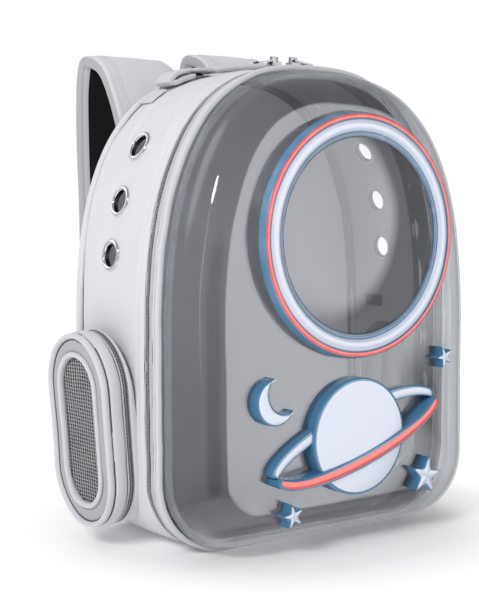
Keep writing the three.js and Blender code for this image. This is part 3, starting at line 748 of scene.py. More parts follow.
def make_stitches() -> Tree:
    """A row of stitches at one distance across the cloth, on coordinates that follow the cloth, with a crease mask that
    also paints shade along the row.
    """
    g, given, out = new_group(
        "Stitch row",
        {
            "Vector": (VECTOR, None), "Across": (FLOAT, 0.004),
            "Pitch": (FLOAT, 0.0032), "Width": (FLOAT, 0.0005),
        },
        {"Thread": FLOAT, "Crease_and_shade": FLOAT},
    )
    split = g.add("ShaderNodeSeparateXYZ")
    g.feed(split.inputs[0], given.outputs["Vector"])
    off = g.math("ABSOLUTE", g.math("SUBTRACT", split.outputs[1], given.outputs["Across"]))
    near = g.math("SUBTRACT", 1.0, g.math("DIVIDE", off, given.outputs["Width"]), True)
    way = g.math("MODULO", split.outputs[0], given.outputs["Pitch"])
    dash = g.math("LESS_THAN", way, g.math("MULTIPLY", given.outputs["Pitch"], 0.72))
    g.feed(out.inputs["Thread"], g.math("MULTIPLY", g.ramp(near, 0.0, 0.4, 0.0, 1.0), dash))
    reach = g.math("MULTIPLY", given.outputs["Width"], 3.2)
    g.feed(out.inputs["Crease_and_shade"], g.math("SUBTRACT", 1.0, g.math("DIVIDE", off, reach), True))
    return g.tree


def make_dust() -> Tree:
    """Faint smears and dust on moulded plastic and metal."""
    g, given, out = new_group(
        "Handling marks",
        {"Vector": (VECTOR, None), "Size": (FLOAT, 60.0)},
        {"Smears": FLOAT, "Specks": FLOAT},
    )
    smear = g.add("ShaderNodeTexNoise")
    g.feed(smear.inputs["Vector"], given.outputs["Vector"])
    g.feed(smear.inputs["Scale"], given.outputs["Size"])
    preset(smear, Detail=5.0, Distortion=1.4)
    g.feed(out.inputs["Smears"], g.ramp(smear.outputs["Fac"], 0.45, 0.75, 0.0, 1.0))
    speck = g.noise(given.outputs["Vector"], 1400.0, 1.0)
    g.feed(out.inputs["Specks"], g.ramp(speck, 0.66, 0.74, 0.0, 1.0))
    return g.tree


WEAVE, FOLDS, STITCHES, MARKS = make_weave(), make_folds(), make_stitches(), make_dust()


def srgb(red: float, green: float, blue: float) -> Rgba:
    """A linear colour from 8-bit display values."""
    parts = (((c / 255 + 0.055) / 1.055) ** 2.4 if c > 10 else c / 3294.6 for c in (red, green, blue))
    return (*parts, 1.0)


def tint(colour: Sequence[float], share: float) -> Rgba:
    """The colour, lighter or darker by share."""
    return (*(min(c * share, 1.0) for c in colour[:3]), 1.0)


@dataclass(frozen=True)
class Finish:
    """What every finish has: a name, a colour and a roughness."""

    name: str
    colour: Rgba
    roughness: float = 0.8

    def start(self) -> tuple[Material, Graph, Node]:
        """A new material, its graph and its Principled node."""
        made = bpy.data.materials.new(self.name)
        made.use_nodes = True
        graph = Graph(made.node_tree)
        shader = graph.find("BSDF_PRINCIPLED")
        preset(shader, Roughness=self.roughness)
        return made, graph, shader

    def group(self, graph: Graph, tree: Tree, vector: Socket, **values: float) -> Node:
        """A shared effect, placed on this coordinate with its own values."""
        node = graph.add("ShaderNodeGroup", node_tree=tree)
        graph.feed(node.inputs["Vector"], vector)
        preset(node, **values)
        return node

    def bump(self, graph: Graph, shader: Node, parts: Sequence[tuple[Socket, float, float]]) -> None:
        """Chains bumps of a height, a depth in metres and a strength into the shader's normal."""
        last = None
        for height, depth, strength in parts:
            node = graph.add("ShaderNodeBump")
            graph.feed(node.inputs["Height"], height)
            preset(node, Distance=depth, Strength=strength)
            if last is not None:
                graph.feed(node.inputs["Normal"], last)
            last = node.outputs["Normal"]
        graph.feed(shader.inputs["Normal"], last)


@dataclass(frozen=True)
class Cloth(Finish):
    """Woven cloth that follows its threads, with rows of stitches where it is sewn; it is painted darker in the gaps of
    the weave and along each row, as painted shade.
    """

    threads: float = 1300.0
    weave: float = 0.1
    folds: float = 0.0008
    fold_size: float = 18.0
    sheen: float = 0.25
    rows: tuple[float, ...] = ()
    stitch: float = 0.0032
    thread: float = 1.08

    def make(self) -> Material:
        """Builds the material."""
        made, g, shader = self.start()
        cut = g.add("ShaderNodeUVMap", uv_map="threads").outputs[0]
        place = g.place()
        threads = self.group(g, WEAVE, cut, Threads_per_metre=self.threads)
        folds = self.group(g, FOLDS, place, Size=self.fold_size)
        dark, light = tint(self.colour, 0.78), tint(self.colour, 1.06)
        colour = g.mix(g.math("MULTIPLY", folds.outputs["Shade"], 0.35), self.colour, light)
        # Darker in the gaps between threads: painted shade in the weave.
        colour = g.mix(g.math("MULTIPLY", threads.outputs["Gaps"], self.weave * 4), colour, dark)
        heights = [(folds.outputs["Height"], self.folds, 0.5)]
        heights.append((threads.outputs["Height"], 0.00025, self.weave * 2))
        for row in self.rows:
            seam = self.group(g, STITCHES, cut, Across=row, Pitch=self.stitch)
            # Darker along the stitch line: painted shade in the sewn crease.
            colour = g.mix(g.math("MULTIPLY", seam.outputs["Crease_and_shade"], 0.45), colour, tint(self.colour, 0.6))
            colour = g.mix(seam.outputs["Thread"], colour, tint(self.colour, self.thread))
            lift = g.math("SUBTRACT", g.math("MULTIPLY", seam.outputs["Thread"], 0.8), seam.outputs["Crease_and_shade"])
            heights.append((lift, 0.0008, 0.6))
        g.feed(shader.inputs["Base Color"], colour)
        g.feed(shader.inputs["Roughness"], g.ramp(threads.outputs["Gaps"], 0, 1, self.roughness, 1.0))
        preset(shader, Sheen_Weight=self.sheen, Sheen_Roughness=0.5, Specular_IOR_Level=0.25)
        self.bump(g, shader, heights)
        return made


@dataclass(frozen=True)
class ShadeNet(Finish):
    """A dark see-through net that stands for the shade inside a vent, open between its threads."""

    threads: float = 1100.0
    open: float = 0.32

    def make(self) -> Material:
        """Builds the material."""
        made, g, shader = self.start()
        place = g.place()
        split, joined = g.add("ShaderNodeSeparateXYZ"), g.add("ShaderNodeCombineXYZ")
        g.feed(split.inputs[0], place)
        g.feed(joined.inputs[0], split.outputs[1])
        g.feed(joined.inputs[1], split.outputs[2])
        threads = self.group(g, WEAVE, joined.outputs[0], Threads_per_metre=self.threads)
        g.feed(shader.inputs["Base Color"], g.mix(threads.outputs["Gaps"], self.colour, tint(self.colour, 0.6)))
        g.feed(shader.inputs["Alpha"], g.ramp(threads.outputs["Gaps"], 0, 1, 1.0, 1 - self.open))
        self.bump(g, shader, [(threads.outputs["Height"], 0.0002, 0.4)])
        return made


@dataclass(frozen=True)
class Moulded(Finish):
    """Moulded or plated hard stuff with handling marks."""

    metal: float = 0.0
    coat: float = 0.0
    marks: float = 0.15

    def make(self) -> Material:
        """Builds the material."""
        made, g, shader = self.start()
        place = g.place()
        marks = self.group(g, MARKS, place)
        smears = g.math("MULTIPLY", marks.outputs["Smears"], self.marks)
        colour = g.mix(smears, self.colour, tint(self.colour, 0.8))
        g.feed(shader.inputs["Base Color"], colour)
        worn = min(self.roughness + self.marks, 1.0)
        g.feed(shader.inputs["Roughness"], g.ramp(marks.outputs["Smears"], 0, 1, self.roughness, worn))
        preset(shader, Metallic=self.metal, Coat_Weight=self.coat)
        self.bump(g, shader, [(marks.outputs["Specks"], 0.00005, 0.3)])
        return made


@dataclass(frozen=True)
class RingPrint(Finish):
    """Glossy print in rings about a point of the clear front."""

    centre: Pair = (0.0, 272.0)
    bands: tuple[tuple[float, Rgba], ...] = ()

    def make(self) -> Material:
        """Builds the material."""
        made, g, shader = self.start()
        place = g.place()
        split = g.add("ShaderNodeSeparateXYZ")
        g.feed(split.inputs[0], place)
        across = g.math("SUBTRACT", split.outputs[0], self.centre[0] * MM)
        up = g.math("SUBTRACT", split.outputs[2], self.centre[1] * MM)
        far = g.math("SQRT", g.math("ADD", g.math("MULTIPLY", across, across), g.math("MULTIPLY", up, up)))
        colour: object = self.colour
        for radius, paint in self.bands:
            edge = g.ramp(far, (radius - 0.25) * MM, (radius + 0.25) * MM, 0.0, 1.0)
            colour = g.mix(edge, colour, paint)
        marks = self.group(g, MARKS, place, Size=25.0)
        worn = g.mix(g.math("MULTIPLY", marks.outputs["Smears"], 0.12), colour, srgb(225, 228, 235))
        g.feed(shader.inputs["Base Color"], worn)
        g.feed(shader.inputs["Roughness"], g.ramp(marks.outputs["Smears"], 0, 1, self.roughness, 0.3))
        preset(shader, Coat_Weight=0.6, Coat_Roughness=0.06)
        self.bump(g, shader, [(marks.outputs["Smears"], 0.0004, 0.25)])
        return made


@dataclass(frozen=True)
class Clear(Finish):
    """Thin clear plastic: what is behind it, a faint smoky tint and the room's reflections."""

    mirror: float = 0.08
    haze: Rgba = (0.8, 0.81, 0.84, 1.0)

    def make(self) -> Material:
        """Builds the material."""
        made, g, shader = self.start()
        place = g.place()
        marks = self.group(g, MARKS, place, Size=9.0)
        g.feed(shader.inputs["Base Color"], g.mix(marks.outputs["Smears"], self.haze, tint(self.haze, 0.9)))
        preset(shader, Metallic=0.75)
        through = g.add("ShaderNodeBsdfTransparent")
        preset(through, Color=self.colour)
        edge = g.add("ShaderNodeLayerWeight")
        preset(edge, Blend=0.5)
        wave = g.add("ShaderNodeBump")
        g.feed(wave.inputs["Height"], g.noise(place, 9.0, 1.5))
        preset(wave, Distance=0.002, Strength=0.5)
        g.feed(edge.inputs["Normal"], wave.outputs["Normal"])
        g.feed(shader.inputs["Normal"], wave.outputs["Normal"])
        slant = g.math("MULTIPLY", g.math("POWER", edge.outputs["Facing"], 4.0), 0.7)
        share = g.math("ADD", slant, self.mirror, True)
        smear = g.math("ADD", share, g.math("MULTIPLY", marks.outputs["Smears"], 0.008), True)
        mixed = g.add("ShaderNodeMixShader")
        g.feed(mixed.inputs[0], smear)
        g.feed(mixed.inputs[1], through.outputs[0])
        g.feed(mixed.inputs[2], shader.outputs[0])
        out = g.find("OUTPUT_MATERIAL")
        g.feed(out.inputs["Surface"], mixed.outputs[0])
        return made


WHITE_INK = srgb(205, 211, 227)
BLUE_INK, NAVY_INK, RED_INK = srgb(72, 122, 158), srgb(46, 78, 108), srgb(236, 78, 70)
PALE = srgb(218, 217, 223)


class Finishes:
    """Every finish of the carrier, built once."""

    def __init__(self) -> None:
        """Builds the materials."""
        hems = (0.0335, 0.0365, 0.1595, 0.1625)
        self.pale = Cloth("pale cloth", PALE, 0.85, threads=720.0, weave=0.16).make()
        self.panel = Cloth("padded pale cloth", PALE, 0.85, threads=720.0, folds=0.0012, fold_size=11.0).make()
        self.face = Cloth("shaded pale cloth", srgb(174, 173, 178), 0.9, threads=720.0, weave=0.16).make()
        self.hem = Cloth("piping cloth", srgb(205, 204, 210), 0.8, threads=900.0, weave=0.08).make()
        self.strap = Cloth("strap cloth", srgb(212, 211, 217), 0.85, threads=720.0, rows=hems, folds=0.0005).make()
        self.seam = Cloth("shadowed seam", srgb(96, 95, 101), 0.95, threads=720.0, sheen=0.0).make()
        self.strap_bound = Cloth("strap binding", srgb(176, 176, 180), 0.85, threads=900.0, weave=0.2).make()
        self.vent_cloth = Cloth("vent cloth", srgb(209, 208, 214), 0.85, threads=720.0, weave=0.16).make()
        grey = srgb(148, 148, 151)
        self.lining = Cloth("grey lining", grey, 0.95, weave=0.0, folds=0.003, fold_size=7.0, sheen=0.1).make()
        self.mat = Cloth("soft grey mat", srgb(150, 149, 154), 0.98, threads=700.0, folds=0.002, sheen=0.4).make()
        self.mesh = Cloth("black strap mesh", srgb(24, 24, 26), 0.9, threads=330.0, weave=0.24, sheen=0.1).make()
        self.tape = Cloth("zip tape", srgb(184, 183, 189), 0.8, threads=1900.0, folds=0.0003).make()
        self.band = Cloth("strap webbing", srgb(176, 175, 181), 0.8, threads=900.0, weave=0.2, folds=0.0003).make()
        self.webbing = Cloth("dark webbing", srgb(74, 73, 84), 0.85, threads=800.0, weave=0.2, folds=0.0012).make()
        self.net = Cloth("net strands", srgb(168, 168, 171), 0.75, threads=2400.0, folds=0.0002).make()
        # A dark see-through sheet: painted shade inside each vent.
        self.shade_sheet = ShadeNet("painted shade net", srgb(58, 58, 61), 0.9).make()
        self.coil = Moulded("nylon coil", srgb(150, 149, 154), 0.4, coat=0.2).make()
        self.buckle = Moulded("satin plastic", srgb(196, 196, 201), 0.42).make()
        self.chrome = Moulded("bright plate", srgb(238, 238, 240), 0.09, metal=1.0, marks=0.08).make()
        self.slider = Moulded("slider plate", srgb(118, 118, 121), 0.24, metal=1.0, marks=0.12).make()
        # The eyelets' plate, darkened: painted shade inside the barrel.
        self.shaded_barrel = Moulded("plate in painted shade", srgb(56, 56, 58), 0.35, metal=1.0, marks=0.2).make()
        self.clear = Clear("clear front", (0.85, 0.86, 0.87, 1.0), 0.035).make()
        bands = ((86.6, BLUE_INK), (88.6, WHITE_INK), (98.4, BLUE_INK), (99.7, RED_INK), (103.3, BLUE_INK))
        self.ring = RingPrint("ring print", NAVY_INK, 0.12, bands=bands).make()
        self.white_ink = Moulded("white print", WHITE_INK, 0.14, coat=0.6, marks=0.06).make()
        self.blue_ink = Moulded("blue print", BLUE_INK, 0.14, coat=0.6, marks=0.06).make()
        self.red_ink = Moulded("red print", RED_INK, 0.14, coat=0.6, marks=0.06).make()


def dress(
    obj: Piece,
    finishes: Sequence[Material],
    replaced: Sequence[str] = (),
    body: str = "root",
) -> Piece:
    """Gives a finished piece its finishes, its body and the CAD nodes it stands for.

    Args:
        obj: The piece.
        finishes: Its materials, by slot.
        replaced: CAD nodes that the piece replaces.
        body: The CAD body that carries it.

    Returns:
        The piece.
    """
    need_slots(obj, len(finishes))
    for i, finish in enumerate(finishes):
        obj.material_slots[i].material = finish
    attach(obj, body)
    if replaced:
        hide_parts(*replaced)
    log.info("%s: %d faces", obj.name, len(obj.data.polygons))
    return obj


# ---------------------------------------------------------------- body


@dataclass
class FabricBody:
    """The body's walls, back panel, floor mat and inner binding."""

    finishes: Finishes
    sizes: Body = BODY
    outline: Outline = OUTLINE
    steps: int = 540
    pass_width: float = 70.0
    pass_height: float = 148.0
    mat_half: float = 101.5

    def wall_height(self, share: Array, y: Array) -> Array:
        """How far the wall's cloth stands off its pattern, in millimetres."""
        way = share * self.outline.length
        _, z = self.outline.at(share)
        lift = 0.9 * ripple(way / 190, y / 120, 3) * ease(15, 70, z)
        lift += 0.35 * ripple(way / 60, y / 40, 5) * ease(15, 70, z)
        middle = (y - self.sizes.wall_front) / (self.sizes.wall_back - self.sizes.wall_front)
        lift += 1.2 * np.sqrt(np.clip(1 - (2 * middle - 1) ** 2, 0, 1)) - 0.6
        for side in (-1, 1):
            for height, depth in self.sizes.eyelets:
                spot = self.outline.share_at(side * float(self.outline.half_width(np.array(height))), height)
                near = np.hypot(way - spot * self.outline.length, y - depth)
                lift *= 1 - np.exp(-((near / 19) ** 4))
        seam = 0.9 * np.exp(-(((y - self.sizes.wall_front - 7.5) / 1.3) ** 2)) * ease(3, 9, z)
        return lift * ease(0, 0.03, share) * ease(0, 0.03, 1 - share) + self.creases(way, y) - seam

    def creases(self, way: Array, y: Array) -> Array:
        """Folds where the handle and the straps pull at the top."""
        total = np.zeros_like(way)
        folds = (
            (-66, 26, -100, 8, -2.6, 2.8), (-60, 8, -104, -18, 2.0, 3.4), (-96, 30, -130, 26, -2.2, 2.6),
            (-40, -8, -92, -28, -2.2, 3.0), (-30, -24, -84, -36, 1.8, 3.2), (72, 26, 112, 40, 2.0, 4.0),
            (58, 0, 96, 10, -1.0, 4.5), (-108, -24, -136, -36, 1.0, 4.0), (34, -34, 84, -30, 0.9, 3.5),
        )
        spots = {}
        for x0, y0, x1, y1, height, width in folds:
            for x in (x0, x1):
                spots[x] = self.outline.share_at(x, float(self.sizes.top(np.array(x)))) * self.outline.length
            a, b = np.array([spots[x0], y0]), np.array([spots[x1], y1])
            d = b - a
            t = np.clip(((way - a[0]) * d[0] + (y - a[1]) * d[1]) / (d @ d), 0, 1)
            off = np.hypot(way - a[0] - t * d[0], y - a[1] - t * d[1])
            total += height * np.exp(-((off / width) ** 2)) * np.sin(np.pi * (0.12 + 0.76 * t))
        return total

    def wall(self) -> None:
        """The side wall: one long panel round the outline, with its eyelet and vent holes."""
        s = self.sizes

        def place(u: Array, v: Array) -> Array:
            """Outside of the wall."""
            y = s.wall_front + (s.wall_back - s.wall_front) * v
            x, z = self.outline.at(u)
            nx, nz = self.outline.normal(u)
            lift = self.wall_height(u, y)
            turn = 1.6 * (np.exp(-((v * 106) / 2.2) ** 2) + np.exp(-(((1 - v) * 106) / 2.2) ** 2))
            lift = lift - turn
            lift = np.where(z < 1.5, np.minimum(lift, 0), lift)
            return np.stack([x + nx * lift, y, z + nz * lift], -1)

        width = s.wall_back - s.wall_front
        obj = swept("body_wall", self.steps, 60, place, (self.outline.length, width), True)
        face_out(obj, from_core(obj))
        need_slots(obj, 2)
        apply(obj, "SOLIDIFY", thickness=s.wall * MM, offset=-1, material_offset=1)
        cutters = []
        for side in Side:
            for height, depth in s.eyelets:
                clear_selection()
                bpy.ops.mesh.primitive_cylinder_add(vertices=32, radius=10.9 * MM, depth=24 * MM)
                drill = take("drill")
                drill.matrix_world = millimetres(eyelet_matrix(side, height, depth))
                cutters.append(drill)
            clear_selection()
            bpy.ops.mesh.primitive_cylinder_add(vertices=48, radius=self.pass_width / 2 * MM, depth=120 * MM)
            hole = take("hole")
            local = corners(hole)
            run = (self.pass_height - self.pass_width) / 2 * MM
            put_corners(hole, local + np.where(local[:, 1:2] > 0, 1, -1) * np.array([[0, run, 0]]))
            hole.matrix_world = millimetres(vent_matrix(side) @ Matrix.Translation((0, 0, 5)))
            cutters.append(hole)
        clear_selection()
        for cutter in cutters:
            cutter.select_set(True)
        bpy.context.view_layer.objects.active = cutters[0]
        bpy.ops.object.join()
        settle(cutters[0])
        cut_out(obj, cutters[0])
        smooth(obj, 50)
        dress(obj, [self.finishes.pale, self.finishes.lining], ["gusset"])

    def back_panel(self) -> None:
        """The padded back panel, quilted in three channels, with a grey lining inside."""
        s = self.sizes
        rings = np.array(
            [(0.4, 0.0), (0.0, 0.12), (0.0, 0.42), (0.5, 0.75), (2.2, 0.97), (6, 1.06), (14, 1.1), (30, 1.1)]
        )

        def place(u: Array, v: Array) -> Array:
            """From the seam round the edge to the middle of the back."""
            way = np.minimum(v * 1.6, 1) * (len(rings) - 1)
            inset = np.interp(way, np.arange(len(rings)), rings[:, 0])
            reach = np.interp(way, np.arange(len(rings)), rings[:, 1])
            x, z = self.outline.at(u, inset)
            towards = np.clip((v - 0.625) / 0.375, 0, 1)
            x, z = x * (1 - towards), z + (205 - z) * towards
            y = s.panel_front + 7 * reach
            quilt = 1.6 * np.exp(-((np.abs(x) - 34) / 3.0) ** 2) * ease(25, 60, z) * ease(25, 70, 395 - z)
            y = y - np.where(towards > 0, quilt, 0) + 0.8 * towards ** 0.5
            return np.stack([x, y, z], -1)

        obj = swept("back_pad", 240, 56, place, (self.outline.length, 220.0), True)
        middles = face_middles(obj)
        face_out(obj, np.stack([0 * middles[:, 0], 0 * middles[:, 0] + 1, 0 * middles[:, 0]], -1))
        need_slots(obj, 2)

        def lining(u: Array, v: Array) -> Array:
            """The flat inside of the panel."""
            x, z = self.outline.at(u, 0.5)
            y = s.panel_front + 0.2 + 0 * v
            return np.stack([x * (1 - v), y, z + (205 - z) * v], -1)

        inside = swept("back_pad_lining", 240, 40, lining, (self.outline.length, 200.0), True)
        face_out(inside, np.array([[0, -1, 0]]))
        need_slots(inside, 2)
        finish_faces(inside, np.ones(len(inside.data.polygons), dtype=bool), 1)
        clear_selection()
        inside.select_set(True)
        obj.select_set(True)
        bpy.context.view_layer.objects.active = obj
        bpy.ops.object.join()
        edit(obj, lambda: bpy.ops.mesh.remove_doubles(threshold=3e-4))
        outward(obj)
        smooth(obj, 55)
        dress(obj, [self.finishes.panel, self.finishes.lining], ["back_panel"])

    def floor_mat(self) -> None:
        """The soft mat on the cabin's floor."""
        clear_selection()
        bpy.ops.mesh.primitive_cube_add(size=1, location=(0, 6.25 * MM, 7.9 * MM))
        obj = take("mat")
        obj.scale = (2 * self.mat_half * MM, 94.3 * MM, 8.4 * MM)
        settle(obj)
        edit(
            obj,
            lambda: bpy.ops.mesh.bevel(offset=3.2 * MM, segments=3, affect="EDGES"),
            lambda: bpy.ops.mesh.subdivide(number_cuts=6),
        )
        outward(obj)
        puffed(obj, voxel=4.0, pressure=2.0, cap=1.2)
        points = corners(obj)
        x, y, z = points.T / MM
        low = (3.4 - z).clip(0) + z
        edge = ease(0, 9, self.mat_half - np.abs(x)) * ease(0, 9, 47.2 - np.abs(y - 6.25))
        bump = 0.5 * ripple(x / 60, y / 60, 21) * ease(8, 11, z)
        rise = np.minimum(low + bump * edge, 13.0)
        curve = (67 - np.sqrt(np.clip(67**2 - (np.abs(x) - 95.5).clip(0) ** 2, 1, None))).clip(0)
        put_corners(obj, np.stack([x, y, rise + curve * 0.9], -1) * MM)
        smooth(obj, 60)
        dress(obj, [self.finishes.mat], ["floor_mat"])

    def binding(self) -> None:
        """The dark wrinkled binding that covers the zip's seam inside the body."""
        s = self.sizes

        def place(u: Array, v: Array) -> Array:
            """The band's inner face."""
            way = u * self.outline.length
            fade = ease(0, 0.04, u) * ease(0, 0.04, 1 - u)
            y = s.tape_front + 0.3 + 25.0 * v + 1.6 * ripple(way / 70, v * 0.6, 31) * fade * v
            inset = 3.5 + fade * (1.7 + 1.5 * ripple(way / 30, v * 1.6, 33)) * np.sin(np.pi * np.clip(v, 0, 1)) ** 0.5
            x, z = self.outline.at(u, inset)
            return np.stack([x, y, z], -1)

        self.tape("inner_band", (420, 12), place, 25.0, 1.0, ["inner_binding"])

    def back_corner_shade(self) -> None:
        """A dark band over the inside of the seam between the wall and the back panel: painted shade in that inner
        corner.
        """

        def place(u: Array, v: Array) -> Array:
            """The band's inner face."""
            way = u * self.outline.length
            fade = ease(0, 0.04, u) * ease(0, 0.04, 1 - u)
            inset = 3.2 + (0.8 + 0.6 * fade * ripple(way / 40, v, 37)) * np.sin(np.pi * np.clip(v, 0, 1)) + 3.0 * v**4
            x, z = self.outline.at(u, inset)
            return np.stack([x, 52.5 + 9.8 * v + 0.6 * fade * ripple(way / 60, v * 0.4, 39), z], -1)

        self.tape("rear_corner_shade", (300, 8), place, 10.0, 0.8)

    def tape(
        self, name: str, faces: tuple[int, int], place: Place, width: float, thick: float, nodes: Sequence[str] = ()
    ) -> None:
        """A dark band inside the body, used for the zip's binding tape and for the band of painted shade in the back
        corner.

        Args:
            name: The piece's name.
            faces: Faces along and across it.
            place: Gives its points, as for swept.
            width: Its width in millimetres.
            thick: Its thickness.
            nodes: The CAD nodes that it replaces.
        """
        obj = swept(name, *faces, place, (self.outline.length, width), True)
        face_out(obj, -from_core(obj))
        apply(obj, "SOLIDIFY", thickness=thick * MM, offset=0)
        outward(obj)
        smooth(obj, 60)
        dress(obj, [self.finishes.webbing], nodes)

    def build(self) -> None:
        """Makes every piece of the body."""
        self.back_corner_shade()
        self.wall()
        self.back_panel()
        self.floor_mat()
        self.binding()


def millimetres(matrix: Matrix) -> Matrix:
    """A matrix whose place is in millimetres, with its place in metres."""
    made = matrix.copy()
    made.translation = matrix.translation * MM
    return made


def vent_matrix(side: Side) -> Matrix:
    """The vent's own frame, whose Z looks out of the side, in millimetres."""
    tilt, s = math.radians(4), side.value
    out = Vector((s * math.cos(tilt), 0, -math.sin(tilt)))
    up = Vector((s * math.sin(tilt), 0, math.cos(tilt)))
    made = Matrix((up.cross(out), up, out)).transposed().to_4x4()
    made.translation = (s * BODY.width / 2, 12.5, 105)
    return made


def eyelet_matrix(side: Side, height: float, depth: float) -> Matrix:
    """The frame of an eyelet, whose Z looks out of the wall, in millimetres."""
    share = OUTLINE.share_at(side.value * float(OUTLINE.half_width(np.array(height))), height)
    nx, nz = (float(n) for n in OUTLINE.normal(np.array(share)))
    x, z = (float(c) for c in OUTLINE.at(np.array(share)))
    out = Vector((nx, 0, nz))
    made = Matrix((Vector((0, 1, 0)).cross(out), Vector((0, 1, 0)), out)).transposed().to_4x4()
    made.translation = (x, depth, z)
    return made


# ---------------------------------------------------------------- rims


@dataclass
class ZipRim:
    """The zipped rim: piping, tape and coil at the front, and the piping at the back."""

    finishes: Finishes
    sizes: Body = BODY
    outline: Outline = OUTLINE
    steps: int = 480
    pitch: float = 1.55

    def ring(
        self, name: str, section: Array, slot: Slot, finish: Material, node: str, seed: int,
        grooves: Sequence[Pair] = (),
    ) -> None:
        """A closed band of one section round the outline.

        Args:
            name: The piece's name.
            section: Closed line of inset and depth.
            slot: The record's slot; not used.
            finish: Its material.
            node: The CAD node that it replaces.
            seed: Fixes the unevenness of its sewing.
            grooves: Depth and half width of each shadowed seam.
        """
        line = Line(section)

        def place(u: Array, v: Array) -> Array:
            """Points of the band."""
            inset, y = line.at(v).T
            way = u * self.outline.length
            fade = ease(0, 0.05, u) * ease(0, 0.05, 1 - u)
            loose = 0.22 * ripple(way / 46, 0 * way, seed) + 0.1 * ripple(way / 14, 0 * way, seed + 1)
            x, z = self.outline.at(u, inset - loose * fade)
            z = np.maximum(z, np.maximum(inset, 0) * (z < 3))
            return np.stack([x, y + 0.25 * fade * ripple(way / 60, 0 * way, seed + 2), z], -1)

        obj = hoop(name, self.steps, line, place, self.outline.length)
        depths = face_middles(obj)[:, 1] / MM
        for depth, half in grooves:
            finish_faces(obj, np.abs(depths - depth) < half, 1)
        smooth(obj, 60)
        dress(obj, [finish, self.finishes.seam] if grooves else [finish], [node])

    def front(self) -> None:
        """Front piping and the two halves of the zip tape."""
        bead = [
            (3.4, -70.9), (1.0, -71.0), (-0.5, -70.3), (-1.3, -68.6), (-1.15, -67.1), (-0.3, -65.9), (0.9, -65.3),
            (0.1, -64.8), (-0.5, -63.9), (-0.45, -62.7), (0.3, -61.7), (3.4, -61.5), (3.5, -66.0),
        ]
        f, seams = self.finishes, ((-65.3, 0.42), (-61.6, 0.35))
        self.ring("front_welt", centripetal(bead, 3, True), Slot.PALE, f.hem, "front_piping", 41, seams)
        tape = [
            (3.1, -61.2), (1.8, -61.2), (0.7, -60.5), (0.2, -59.2), (0.1, -57.4), (0.5, -55.8), (1.4, -55.2),
            (2.2, -54.9), (2.2, -50.6), (1.4, -50.2), (0.9, -49.2), (1.2, -47.5), (3.1, -47.2),
        ]
        seams = ((-61.0, 0.4), (-55.5, 0.7), (-50.2, 0.55), (-47.5, 0.5))
        self.ring("front_tape", centripetal(tape, 3, True), Slot.TAPE, f.tape, "zip_tape", 51, seams)

    def back(self) -> None:
        """Back piping, a round cord covered in the pale cloth."""
        bead = [(2.4, 59.9), (0.6, 59.8), (-0.8, 60.3), (-1.25, 61.7), (-0.8, 63.1), (0.6, 63.6), (2.4, 63.5)]
        self.ring("back_welt", centripetal(bead, 3, True), Slot.PALE, self.finishes.pale, "back_piping", 61)

    def coil(self) -> None:
        """The zip's coil, one turn for each tooth."""
        tooth = zip_tooth(3.5, self.pitch * 0.66, 1.6)
        count = int(self.outline.length / self.pitch)
        share = (np.arange(count) + 0.5) / count
        x, z = self.outline.at(share, 0.9)
        nx, nz = self.outline.normal(share)
        keep = z > 1.5
        places = []
        for i in np.flatnonzero(keep):
            side = 0.45 if i % 2 else -0.45
            m = np.eye(4)
            m[:3, 0] = (0, 1, 0)
            m[:3, 1] = (-nz[i], 0, nx[i])
            m[:3, 2] = (nx[i], 0, nz[i])
            m[:3, 3] = np.array([x[i], -52.7 + side, z[i]]) * MM
            places.append(m)
        obj = strewn("front_coil", tooth, places)
        smooth(obj, 60)
        dress(obj, [self.finishes.coil], ["zip_coil"])

    def build(self) -> None:
        """Makes the rims."""
        self.front()
        self.back()
        self.coil()


def zip_tooth(length: float, width: float, height: float) -> Piece:
    """One turn of a zip's coil, lying along X.

    Args:
        length: Across the zip, in millimetres.
        width: Along the zip.
        height: Out of the tape.

    Returns:
        The tooth, at the origin.
    """
    clear_selection()
    bpy.ops.mesh.primitive_cube_add(size=1)
    tooth = take("tooth")
    tooth.scale = (length * MM, width * MM, height * MM)
    settle(tooth)
    edit(tooth, lambda: bpy.ops.mesh.bevel(offset=min(width, height) * 0.32 * MM, segments=1, affect="EDGES"))
    return tooth


# ---------------------------------------------------------------- clear front


